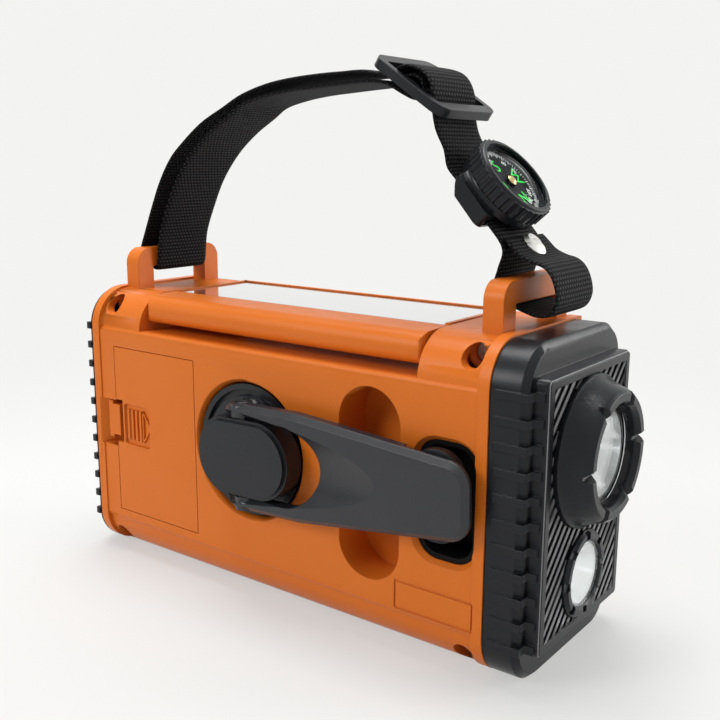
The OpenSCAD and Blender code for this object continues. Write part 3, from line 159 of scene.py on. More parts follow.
class Net:
    """Adds nodes to a tree and links them."""

    IN_A_ROW, WIDE, HIGH = 12, 190, 260

    def __init__(self, tree):
        self.tree = tree
        self.count = 0

    def add(self, kind, ins=None, **props):
        node = self.tree.nodes.new(kind)
        node.location = (self.WIDE * (self.count % self.IN_A_ROW), -self.HIGH * (self.count // self.IN_A_ROW))
        self.count += 1
        for key, value in props.items():
            setattr(node, key, value)
        for key, value in (ins or {}).items():
            self.put(node.inputs[key], value)
        return node

    def first(self, kind, ins=None, **props):
        """Adds a node and gives its first output."""
        return self.add(kind, ins, **props).outputs[0]

    def find(self, kind):
        """The first node of a type that the tree has."""
        return next(n for n in self.tree.nodes if n.type == kind)

    def put(self, socket, value):
        if isinstance(value, bpy.types.Node):
            value = value.outputs[0]
        if isinstance(value, bpy.types.NodeSocket):
            self.tree.links.new(value, socket)
        elif socket.type == "RGBA":
            socket.default_value = (*value[:3], 1)
        else:
            socket.default_value = value

    def math(self, operation, a, b=0.0, c=0.0):
        return self.first("ShaderNodeMath", {0: a, 1: b, 2: c}, operation=operation)

    def vec(self, operation, a, b=(0, 0, 0), scale=None):
        node = self.add("ShaderNodeVectorMath", {0: a, 1: b}, operation=operation)
        if scale is not None:
            self.put(node.inputs["Scale"], scale)
        return node.outputs[0]

    def split(self, vector):
        return self.add("ShaderNodeSeparateXYZ", {0: vector}).outputs

    def join(self, x, y, z):
        return self.first("ShaderNodeCombineXYZ", {0: x, 1: y, 2: z})

    def blend(self, amount, a, b):
        node = self.add("ShaderNodeMix", data_type="RGBA")
        for name, value in (("Factor_Float", amount), ("A_Color", a), ("B_Color", b)):
            self.put(next(s for s in node.inputs if s.identifier == name), value)
        return next(s for s in node.outputs if s.identifier == "Result_Color")

    def noise(self, where, scale, detail=2.0, rough=0.5):
        return self.first("ShaderNodeTexNoise", {"Vector": where, "Scale": scale, "Detail": detail, "Roughness": rough})

    def ramp(self, value, low, high):
        """A soft step from 0 to 1 between two values."""
        ins = {"Value": value, "From Min": low, "From Max": high}
        return self.first("ShaderNodeMapRange", ins, interpolation_type="SMOOTHSTEP")

    def place(self, kind="Object"):
        return self.add("ShaderNodeTexCoord").outputs[kind]

    def group(self, tree, ins):
        node = self.add(self.tree.bl_idname.replace("Tree", "Group"))
        node.node_tree = tree
        for key, value in ins.items():
            self.put(node.inputs[key], value)
        return node.outputs

    def close(self, end, shape, finish):
        """Ends a geometry tree with real faces and their material."""
        shape = self.first("GeometryNodeRealizeInstances", {"Geometry": shape})
        self.put(end, self.first("GeometryNodeSetMaterial", {"Geometry": shape, "Material": finish}))


def new_group(name, kind, ins, outs):
    """An empty node group with named sockets, given as (name, type, default)."""
    tree = bpy.data.node_groups.new(name, kind)
    for direction, sockets in (("INPUT", ins), ("OUTPUT", outs)):
        for title, socket, default in sockets:
            made = tree.interface.new_socket(title, in_out=direction, socket_type=socket)
            if default is not None:
                made.default_value = default
    net = Net(tree)
    start = net.add("NodeGroupInput").outputs
    end = net.add("NodeGroupOutput").inputs
    return tree, net, start, end


def moulded_grain():
    """Group: mottled colour, uneven gloss and the fine spark-eroded grain of moulded plastic."""
    name = "moulded grain"
    if name in bpy.data.node_groups:
        return bpy.data.node_groups[name]
    tree, net, start, end = new_group(
        name, "ShaderNodeTree",
        [("Colour", AS_COLOUR, None), ("Tint", AS_COLOUR, None), ("Roughness", AS_NUMBER, 0.45),
         ("Fineness", AS_NUMBER, 2600.0)],
        [("Colour", AS_COLOUR, None), ("Roughness", AS_NUMBER, None), ("Height", AS_NUMBER, None)])
    where = net.place()
    cast = net.noise(where, 38.0, 3.0)
    speck = net.noise(where, 900.0, 2.0)
    amount = net.math("MULTIPLY_ADD", cast, 1.6, -0.3)
    amount = net.math("MULTIPLY_ADD", net.math("SUBTRACT", speck, 0.5), 0.5, amount)
    net.put(end["Colour"], net.blend(amount, start["Colour"], start["Tint"]))
    dull = net.math("SUBTRACT", net.noise(where, 170.0, 3.0), 0.5)
    net.put(end["Roughness"], net.math("MULTIPLY_ADD", dull, 0.16, start["Roughness"]))
    net.put(end["Height"], net.noise(where, start["Fineness"], 2.0, 0.6))
    return tree


def woven_relief():
    """Group: staggered crowns of yarn on the strap's own map, which is in metres."""
    name = "woven relief"
    if name in bpy.data.node_groups:
        return bpy.data.node_groups[name]
    tree, net, start, end = new_group(
        name, "ShaderNodeTree",
        [("Along", AS_NUMBER, 0.00115), ("Across", AS_NUMBER, 0.00135)],
        [("Height", AS_NUMBER, None), ("Crown", AS_NUMBER, None), ("Fuzz", AS_NUMBER, None)])
    u, v, _ = net.split(net.place("UV"))
    u = net.math("DIVIDE", u, start["Along"])
    v = net.math("DIVIDE", v, start["Across"])
    odd_row = net.math("FLOORED_MODULO", net.math("FLOOR", u), 2.0)
    v = net.math("MULTIPLY_ADD", odd_row, 0.5, v)

    def crown(t, power):
        off = net.math("ABSOLUTE", net.math("MULTIPLY_ADD", net.math("FRACT", t), 2.0, -1.0))
        return net.math("SUBTRACT", 1.0, net.math("POWER", off, power))

    height = net.math("MULTIPLY", crown(u, 1.5), crown(v, 3.0))
    fibres = net.join(net.math("MULTIPLY", u, 2.0), net.math("MULTIPLY", v, 9.0), 0.0)
    fuzz = net.noise(fibres, 1.0, 3.0, 0.7)
    net.put(end["Height"], net.math("MULTIPLY_ADD", fuzz, 0.22, height))
    net.put(end["Crown"], net.math("POWER", height, 2.2))
    net.put(end["Fuzz"], fuzz)
    return tree


def finger_marks():
    """Group: faint cloudy smears for bright metal and clear covers."""
    name = "finger marks"
    if name in bpy.data.node_groups:
        return bpy.data.node_groups[name]
    tree, net, start, end = new_group(
        name, "ShaderNodeTree", [("Roughness", AS_NUMBER, 0.1), ("Amount", AS_NUMBER, 0.1)],
        [("Roughness", AS_NUMBER, None), ("Mask", AS_NUMBER, None)])
    smear = net.noise(net.place(), 120.0, 4.0, 0.6)
    net.put(end["Mask"], smear)
    uneven = net.math("SUBTRACT", smear, 0.5)
    net.put(end["Roughness"], net.math("MULTIPLY_ADD", uneven, start["Amount"], start["Roughness"]))
    return tree


# Finishes

def blank(name, **plain):
    """A material with a Principled shader whose plain values are set on its own sockets."""
    made = bpy.data.materials.new(name)
    made.use_nodes = True
    made.node_tree.nodes.clear()
    net = Net(made.node_tree)
    shader = net.add("ShaderNodeBsdfPrincipled")
    out = net.add("ShaderNodeOutputMaterial", {"Surface": shader})
    out.location = (600, 200)
    for key, value in plain.items():
        net.put(shader.inputs[key.replace("_", " ")], value)
    return made, net, shader.inputs


def known(name):
    return bpy.data.materials.get(name)


def plastic(name, base, tint, rough, fineness=2600.0, depth=None, edge=None, **plain):
    """Moulded plastic with rounded edges, grain and a slightly uneven gloss."""
    if known(name):
        return known(name)
    look = finishes()
    made, net, shader = blank(name, **plain)
    grain = net.group(moulded_grain(), {"Colour": base, "Tint": tint, "Roughness": rough, "Fineness": fineness})
    soft = net.add("ShaderNodeBevel", {"Radius": look.edge if edge is None else edge}, samples=6)
    bump = net.add("ShaderNodeBump", {
        "Height": grain["Height"], "Distance": look.grain if depth is None else depth, "Strength": 1.0, "Normal": soft})
    net.put(shader["Base Color"], grain["Colour"])
    net.put(shader["Roughness"], grain["Roughness"])
    net.put(shader["Normal"], bump)
    return made


def metal(name, base, rough, amount=0.1, edge=0.0002):
    """Metal with faint smears."""
    if known(name):
        return known(name)
    made, net, shader = blank(name, Metallic=1.0)
    smear = net.group(finger_marks(), {"Roughness": rough, "Amount": amount})
    net.put(shader["Base Color"], net.blend(smear["Mask"], base, shaded(base, 0.86)))
    net.put(shader["Roughness"], smear["Roughness"])
    net.put(shader["Normal"], net.add("ShaderNodeBevel", {"Radius": edge}, samples=4))
    return made


def clear(name, rough=0.03, bend=1.49):
    """Clear plastic that lets the light through to what lies behind it."""
    if known(name):
        return known(name)
    base = (0.97, 0.99, 1.0)
    made, net, shader = blank(name, Transmission_Weight=1.0, IOR=bend, Base_Color=base)
    smear = net.group(finger_marks(), {"Roughness": rough, "Amount": 0.04})
    net.put(shader["Roughness"], smear["Roughness"])
    shade = net.add("ShaderNodeLightPath").outputs["Is Shadow Ray"]
    thin = net.add("ShaderNodeBsdfTransparent", {"Color": base})
    lit = net.add("ShaderNodeMixShader", {"Fac": shade, 1: net.find("BSDF_PRINCIPLED"), 2: thin})
    net.put(net.find("OUTPUT_MATERIAL").inputs["Surface"], lit)
    return made


def orange():
    look = finishes()
    return plastic("orange case plastic", look.orange, look.orange_pale, 0.38, Specular_IOR_Level=0.2)


def black(name="black cap plastic"):
    look = finishes()
    return plastic(name, look.black, look.black_pale, 0.30, Specular_IOR_Level=0.24)


def charcoal():
    look = finishes()
    return plastic("charcoal arm plastic", look.charcoal, look.charcoal_pale, 0.36, fineness=1900.0, depth=mm(0.05),
                   Specular_IOR_Level=0.5)


def gloss():
    look = finishes()
    return plastic("smooth hub plastic", look.gloss, shaded(look.gloss, 1.4), 0.30, fineness=1500.0, depth=mm(0.008),
                   edge=mm(0.08), Specular_IOR_Level=0.3)


def steel():
    return metal("dull steel", (0.56, 0.56, 0.57), 0.34)


def chrome():
    return metal("bright chrome", (0.83, 0.83, 0.85), 0.09, 0.06)


def white():
    return plastic("white diffusing plastic", (0.74, 0.74, 0.71), (0.78, 0.78, 0.76), 0.4)


def marks(name, base, rough=0.5):
    """Printed ink with a slightly uneven coat."""
    if known(name):
        return known(name)
    made, net, shader = blank(name)
    speck = net.noise(net.place(), 2400.0, 2.0)
    net.put(shader["Base Color"], net.blend(speck, base, shaded(base, 0.84)))
    net.put(shader["Roughness"], net.math("MULTIPLY_ADD", speck, 0.2, rough - 0.1))
    return made


def white_marks():
    return marks("white print", finishes().marks)


# Meshes

def add_piece(name, mesh, body, finish=None, replaces=()):
    """Puts a finished mesh in the scene as a piece that rides on a body."""
    piece = bpy.data.objects.new(name, mesh)
    bpy.context.scene.collection.objects.link(piece)
    if finish is not None:
        mesh.materials.clear()
        mesh.materials.append(finish)
    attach(piece, body)
    if replaces:
        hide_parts(*replaces)
    return piece


def baked(holder):
    """The evaluated shape of an object as a plain mesh; the holder is removed."""
    graph = bpy.context.evaluated_depsgraph_get()
    shown = holder.evaluated_get(graph)
    mesh = bpy.data.meshes.new_from_object(shown, preserve_all_data_layers=True, depsgraph=graph)
    bpy.data.objects.remove(holder)
    return mesh


def as_mesh(shape, name):
    """Turns a working shape into a mesh and frees it."""
    made = bpy.data.meshes.new(name)
    shape.to_mesh(made)
    shape.free()
    return made


def wear(node, finish):
    """Gives a CAD node that stays its finish."""
    mesh = frame["nodes"][node].data
    mesh.materials.clear()
    mesh.materials.append(finish)


def smooth_copy(node, finish, sharp=24.0):
    """Replaces a node by a merged copy with flat faces kept flat and round faces smooth."""
    merge, flat = 2e-6, math.radians(0.3)
    mesh = frame["nodes"][node].data.copy()
    shape = bmesh.new()
    shape.from_mesh(mesh)
    bmesh.ops.remove_doubles(shape, verts=shape.verts, dist=merge)
    bmesh.ops.dissolve_degenerate(shape, edges=shape.edges, dist=merge)
    bmesh.ops.dissolve_limit(shape, angle_limit=flat, verts=shape.verts, edges=shape.edges)
    shape.to_mesh(mesh)
    shape.free()
    for face in mesh.polygons:
        face.use_smooth = True
    holder = bpy.data.objects.new(node + "_holder", mesh)
    bpy.context.scene.collection.objects.link(holder)
    mesh.set_sharp_from_angle(angle=math.radians(sharp))
    weigh = holder.modifiers.new("weigh", "WEIGHTED_NORMAL")
    weigh.weight = 100
    weigh.keep_sharp = True
    made = baked(holder)
    return add_piece(node + "_dressed", made, BODY_OF[node], finish, (node,))


def text_mesh(words, size, thick):
    """Centred words as a slightly raised mesh in the XY plane."""
    curve = bpy.data.curves.new("words", "FONT")
    curve.body = words
    curve.size = size
    curve.align_x = "CENTER"
    curve.align_y = "CENTER"
    curve.extrude = thick
    curve.resolution_u = 4
    holder = bpy.data.objects.new("words", curve)
    bpy.context.scene.collection.objects.link(holder)
    return baked(holder)


def joined(parts):
    """One mesh from (mesh, matrix) pairs."""
    shape = bmesh.new()
    for mesh, matrix in parts:
        mesh.transform(matrix)
        shape.from_mesh(mesh)
        bpy.data.meshes.remove(mesh)
    return as_mesh(shape, "joined")


def turned(profile, matrix, steps):
    """A shape turned about its Z axis from (radius, height) points, the last one on the axis."""
    shape = bmesh.new()
    line = [shape.verts.new((r, 0, z)) for r, z in profile]
    edges = [shape.edges.new((a, b)) for a, b in zip(line, line[1:])]
    bmesh.ops.spin(shape, geom=line + edges, cent=(0, 0, 0), axis=(0, 0, 1), angle=2 * math.pi, steps=steps)
    bmesh.ops.remove_doubles(shape, verts=shape.verts, dist=1e-7)
    bmesh.ops.recalc_face_normals(shape, faces=shape.faces)
    shape.transform(matrix)
    made = as_mesh(shape, "turned")
    for face in made.polygons:
        face.use_smooth = True
    made.set_sharp_from_angle(angle=math.radians(40))
    return made


def slab(outline, z0, z1, matrix):
    """A flat plate with the outline's points in XY."""
    shape = bmesh.new()
    face = shape.faces.new([shape.verts.new((x, y, z0)) for x, y in outline])
    lifted = bmesh.ops.extrude_face_region(shape, geom=[face])["geom"]
    corners = [v for v in lifted if isinstance(v, bmesh.types.BMVert)]
    bmesh.ops.translate(shape, verts=corners, vec=(0, 0, z1 - z0))
    bmesh.ops.recalc_face_normals(shape, faces=shape.faces)
    shape.transform(matrix)
    return as_mesh(shape, "slab")


def grown(name, tree, start, values):
    """Runs a geometry tree on a start mesh and returns the plain mesh."""
    holder = bpy.data.objects.new(name, start)
    bpy.context.scene.collection.objects.link(holder)
    modifier = holder.modifiers.new("grow", "NODES")
    modifier.node_group = tree
    sockets = {s.name: s.identifier for s in tree.interface.items_tree if s.in_out == "INPUT"}
    for key, value in values.items():
        modifier[sockets[key]] = value
    holder.update_tag()
    bpy.context.view_layer.update()
    return baked(holder)


def polyline(points):
    """An open line of edges through the points."""
    made = bpy.data.meshes.new("line")
    made.from_pydata([tuple(p) for p in points], [(i, i + 1) for i in range(len(points) - 1)], [])
    return made


def ticks(tree, ink, **sizes):
    """Ticks grown by a tree, with the tree's own inputs as sizes."""
    return grown("ticks", tree, bpy.data.meshes.new("none"), {**sizes, "Material": ink})


# Geometry trees

def tree_webbing():
    """Flat webbing with rounded edges laid along a path, with a map in metres."""
    tree, net, start, end = new_group(
        "webbing along a path", "GeometryNodeTree",
        [("Path", AS_SHAPE, None), ("Width", AS_NUMBER, 0.0155), ("Thickness", AS_NUMBER, 0.0012),
         ("Along", AS_COUNT, 600), ("Across", AS_COUNT, 19), ("Material", AS_FINISH, None)],
        [("Webbing", AS_SHAPE, None)])
    path = net.first("GeometryNodeMeshToCurve", {"Mesh": start["Path"]})
    size = net.first("GeometryNodeCurveLength", {0: path})
    grid = net.add("GeometryNodeMeshGrid", {
        "Size X": 1.0, "Size Y": 1.0, "Vertices X": start["Along"], "Vertices Y": start["Across"]})
    x, y, _ = net.split(net.add("GeometryNodeInputPosition"))
    u = net.math("ADD", x, 0.5)
    at = {"Curves": path, "Factor": u}
    spot = net.add("GeometryNodeSampleCurve", at, mode="FACTOR", data_type="FLOAT").outputs
    side = net.vec("NORMALIZE", net.vec("CROSS_PRODUCT", spot["Tangent"], (0, 1, 0)))

    def fade(t, power):
        """One in the middle and nothing at both ends, with a corner as tight as the power."""
        return net.math("SUBTRACT", 1.0, net.math("POWER", net.math("ABSOLUTE", net.math("MULTIPLY", t, 2.0)), power))

    body = net.math("MULTIPLY", fade(y, 9.0), fade(x, 500.0))
    full = net.math("SQRT", net.math("MAXIMUM", body, 0.0))
    half = net.math("MULTIPLY", net.math("MULTIPLY", full, start["Thickness"]), 0.5)
    across = net.math("MULTIPLY", y, start["Width"])
    middle = net.vec("ADD", spot["Position"], net.join(0.0, across, 0.0))
    plot = net.join(net.math("MULTIPLY", u, size), across, 0.0)
    mapped = net.add("GeometryNodeStoreNamedAttribute", {"Geometry": grid.outputs["Mesh"], "Name": "UVMap"},
                     data_type="FLOAT2", domain="CORNER")
    net.put(next(s for s in mapped.inputs if s.name == "Value" and s.enabled), plot)
    sheets = []
    for sign in (1.0, -1.0):
        off = net.vec("SCALE", side, scale=net.math("MULTIPLY", half, sign))
        laid = {"Geometry": mapped.outputs[0], "Position": net.vec("ADD", middle, off)}
        sheets.append(net.first("GeometryNodeSetPosition", laid))
    under = net.first("GeometryNodeFlipFaces", {"Mesh": sheets[1]})
    both = net.add("GeometryNodeJoinGeometry")
    net.put(both.inputs[0], sheets[0])
    net.put(both.inputs[0], under)
    whole = net.first("GeometryNodeMergeByDistance", {"Geometry": both, "Distance": 1e-7})
    whole = net.first("GeometryNodeSetShadeSmooth", {"Geometry": whole})
    net.close(end["Webbing"], whole, start["Material"])
    return tree


def tree_ring_ticks():
    """Ticks that point to the middle of a ring."""
    tree, net, start, end = new_group(
        "ticks on a ring", "GeometryNodeTree",
        [("Mesh", AS_SHAPE, None), ("Count", AS_COUNT, 72), ("Radius", AS_NUMBER, 0.009),
         ("Length", AS_NUMBER, 0.001), ("Width", AS_NUMBER, 0.0002), ("Thickness", AS_NUMBER, 0.0001),
         ("Material", AS_FINISH, None)],
        [("Ticks", AS_SHAPE, None)])
    ring = net.first("GeometryNodeMeshCircle", {"Vertices": start["Count"], "Radius": start["Radius"]})
    size = net.join(start["Length"], start["Width"], start["Thickness"])
    tick = net.first("GeometryNodeMeshCube", {"Size": size})
    outward = net.add("GeometryNodeInputPosition")
    turn = net.first("FunctionNodeAlignRotationToVector", {"Vector": outward}, axis="X")
    many = net.first("GeometryNodeInstanceOnPoints", {"Points": ring, "Instance": tick, "Rotation": turn})
    net.close(end["Ticks"], many, start["Material"])
    return tree


def tree_row_ticks():
    """Upright ticks in a row, every fifth one longer."""
    tree, net, start, end = new_group(
        "ticks in a row", "GeometryNodeTree",
        [("Mesh", AS_SHAPE, None), ("Count", AS_COUNT, 41), ("Row", AS_NUMBER, 0.06),
         ("Length", AS_NUMBER, 0.0014), ("Width", AS_NUMBER, 0.0003), ("Thickness", AS_NUMBER, 0.0001),
         ("Material", AS_FINISH, None)],
        [("Ticks", AS_SHAPE, None)])
    step = net.math("DIVIDE", start["Row"], net.math("SUBTRACT", start["Count"], 1.0))
    left = net.join(net.math("MULTIPLY", start["Row"], -0.5), 0.0, 0.0)
    row = net.first("GeometryNodeMeshLine", {
        "Count": start["Count"], "Start Location": left, "Offset": net.join(step, 0.0, 0.0)})
    size = net.join(start["Width"], start["Length"], start["Thickness"])
    tick = net.first("GeometryNodeMeshCube", {"Size": size})
    lift = net.join(0.0, net.math("MULTIPLY", start["Length"], 0.5), 0.0)
    tick = net.first("GeometryNodeTransform", {"Geometry": tick, "Translation": lift})
    fifth = net.math("COMPARE", net.math("FLOORED_MODULO", net.add("GeometryNodeInputIndex"), 5.0), 0.0, 0.1)
    tall = net.join(1.0, net.math("MULTIPLY_ADD", fifth, 0.8, 1.0), 1.0)
    many = net.first("GeometryNodeInstanceOnPoints", {"Points": row, "Instance": tick, "Scale": tall})
    net.close(end["Ticks"], many, start["Material"])
    return tree


# Pieces

class RADIO_OT_case(bpy.types.Operator):
    """Orange case halves, battery door, latch and screws"""
    bl_idname = "radio.case"
    bl_label = "Case"

    def execute(self, context):
        for node in ("rear_shell", "front_shell", "battery_door", "battery_latch"):
            smooth_copy(node, orange())
        wear("case_screws", steel())
        self.arrow()
        return {"FINISHED"}

    def arrow(self):
        """Raised outline of an arrow head beside the ribs of the door's pad."""
        inset, height = mm(12.4), mm(45)
        reach, half, stroke = mm(3.6), mm(5.0), mm(0.45)
        low, high = -mm(0.8), -mm(0.15)
        lo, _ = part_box("battery_door")
        seat = Matrix.Translation((lo.x + inset, lo.y, height)) @ Matrix.Rotation(math.radians(90), 4, "X")
        corners = [Vector((0, half)), Vector((reach, 0)), Vector((0, -half))]
        bars = []
        for a, b in zip(corners, corners[1:] + corners[:1]):
            d = (b - a).normalized()
            n = Vector((-d.y, d.x)) * stroke / 2
            a, b = a - d * stroke / 2, b + d * stroke / 2
            bars.append((slab([a - n, b - n, b + n, a + n], low, high, seat), Matrix()))
        add_piece("door_arrow", joined(bars), "door", orange())


class RADIO_OT_crank(bpy.types.Operator):
    """Fold-flat crank: hub block, arm, hand knob, pins and shaft"""
    bl_idname = "radio.crank"
    bl_label = "Crank"

    def execute(self, context):
        smooth_copy("crank_hub", gloss())
        smooth_copy("crank_arm", charcoal(), sharp=9.0)
        smooth_copy("crank_knob", black())
        for node in ("crank_shaft", "crank_fold_pin", "crank_knob_pin"):
            wear(node, steel())
        # Partly painted shade: the well liner's own black, made darker and duller than the caps' black so the well
        # reads as shade
        dark = plastic("well black with painted shade", (0.003, 0.003, 0.003), (0.005, 0.005, 0.005), 0.6, Specular_IOR_Level=0.12)
        smooth_copy("knob_well", dark)
        return {"FINISHED"}


class RADIO_OT_torch_end(bpy.types.Operator):
    """End caps, torch, side lamp, sockets and port cover"""
    bl_idname = "radio.torch_end"
    bl_label = "Torch end"

    def execute(self, context):
        smooth_copy("right_end_cap", self.ribbed())
        for node in ("left_end_cap", "torch_bezel", "lamp_ring"):
            smooth_copy(node, black())
        mirror = plastic("bright reflector", (0.93, 0.93, 0.92), (0.97, 0.97, 0.96), 0.14, fineness=300.0, depth=0.0,
                         edge=0.0, Metallic=0.6)
        for node in ("torch_reflector", "lamp_reflector"):
            smooth_copy(node, mirror)
        for node in ("torch_lens", "lamp_lens"):
            smooth_copy(node, clear("clear lens"))
        smooth_copy("torch_led", plastic("yellow lamp chip", (0.75, 0.62, 0.12), (0.8, 0.7, 0.2), 0.3))
        rubber = plastic("matt rubber", (0.020, 0.020, 0.021), (0.028, 0.028, 0.030), 0.7, fineness=1400.0,
                         depth=mm(0.07))
        smooth_copy("port_cover", rubber)
        wear("usb_sockets", steel())
        return {"FINISHED"}

    def ribbed(self):
        """Cap plastic with the crowns of the panel's ribs painted pale, as a painted highlight for the light they
        catch.
        """
        look = finishes()
        made = black("torch cap plastic with painted rib highlights")
        net = Net(made.node_tree)
        shader = net.find("BSDF_PRINCIPLED").inputs
        grain = shader["Base Color"].links[0].from_socket
        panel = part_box("right_end_cap")[1].x
        x = net.split(net.place())[0]
        # Painted highlight: the rib crowns get a pale colour in place of the glint they catch
        crown = net.math("COMPARE", x, panel - look.rib_drop, mm(0.12))
        net.put(shader["Base Color"], net.blend(crown, grain, look.rubbed))
        return made


class RADIO_OT_lid(bpy.types.Operator):
    """Hinged solar lid with its glass, reading lamp and pins"""
    bl_idname = "radio.lid"
    bl_label = "Solar lid"

    def execute(self, context):
        smooth_copy("solar_lid", orange())
        smooth_copy("solar_panel", self.glass())
        smooth_copy("reading_lamp", white())
        wear("lid_hinge_pins", steel())
        self.lip()
        return {"FINISHED"}

    def lip(self):
        """Low lip round the far sides of the glass."""
        gap, end_gap = mm(0.1), mm(0.4)
        sunk, proud = mm(0.2), mm(0.35)
        (x0, _, _), (x1, y1, z1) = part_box("solar_lid")
        g0, g1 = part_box("solar_panel")
        x0, x1, y0 = x0 + gap, x1 - gap, g0.y + mm(1.0)
        bars = []
        for a, b, c, d in ((x0, y0, g0.x - gap, y1 - end_gap), (g1.x + gap, y0, x1, y1 - end_gap),
                           (x0, g1.y + gap, x1, y1 - gap)):
            bars.append((slab([(a, b), (c, b), (c, d), (a, d)], z1 - sunk, z1 + proud, Matrix()), Matrix()))
        add_piece("lid_lip", joined(bars), BODY_OF["solar_lid"], orange())

    def glass(self):
        """Blue black cells with silver fingers under a cover that mirrors at a low angle, with a thin painted shadow
        round its rim where that mirror is turned off.
        """
        look = finishes()
        made, net, shader = blank(
            "solar cells under glass", IOR=3.4, Coat_Weight=1.0, Coat_Roughness=0.03, Coat_IOR=1.8)
        x, y, _ = net.split(net.place())

        def lines(t, step, width):
            part = net.math("FRACT", net.math("DIVIDE", t, step))
            off = net.math("ABSOLUTE", net.math("SUBTRACT", part, 0.5))
            return net.math("LESS_THAN", off, width / step / 2)

        seams = lines(x, mm(14.0), mm(0.9))
        fingers = lines(y, mm(2.0), mm(0.16))
        bus = lines(net.math("ADD", y, mm(1.5)), mm(17.0), mm(0.8))
        base = net.blend(net.noise(net.place(), 90.0, 3.0), look.cells, shaded(look.cells, 1.6))
        base = net.blend(net.math("MULTIPLY", fingers, 0.35), base, (0.30, 0.30, 0.31))
        base = net.blend(net.math("MULTIPLY", bus, 0.55), base, (0.42, 0.42, 0.43))
        base = net.blend(net.math("MULTIPLY", seams, 0.8), base, (0.006, 0.006, 0.008))
        graze = net.ramp(net.add("ShaderNodeLayerWeight", {"Blend": 0.5}).outputs["Facing"], 0.5, 0.85)
        # Painted shadow: no low-angle mirror within this border, which leaves a dark line for the shade of the gap
        # between glass and lid
        gap_shadow_width, strength = mm(0.9), 0.86
        lo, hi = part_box("solar_panel")
        inset = net.math("MINIMUM", net.math("SUBTRACT", x, lo.x), net.math("SUBTRACT", hi.x, x))
        for off in (net.math("SUBTRACT", y, lo.y), net.math("SUBTRACT", hi.y, y)):
            inset = net.math("MINIMUM", inset, off)
        inside = net.math("MULTIPLY", net.math("GREATER_THAN", inset, gap_shadow_width), strength)
        graze = net.math("MULTIPLY", graze, inside)
        net.put(shader["Base Color"], net.blend(graze, base, (0.86, 0.875, 0.885)))
        net.put(shader["Metallic"], graze)
        smear = net.group(finger_marks(), {"Roughness": 0.12, "Amount": 0.06})
        net.put(shader["Roughness"], smear["Roughness"])
        return made


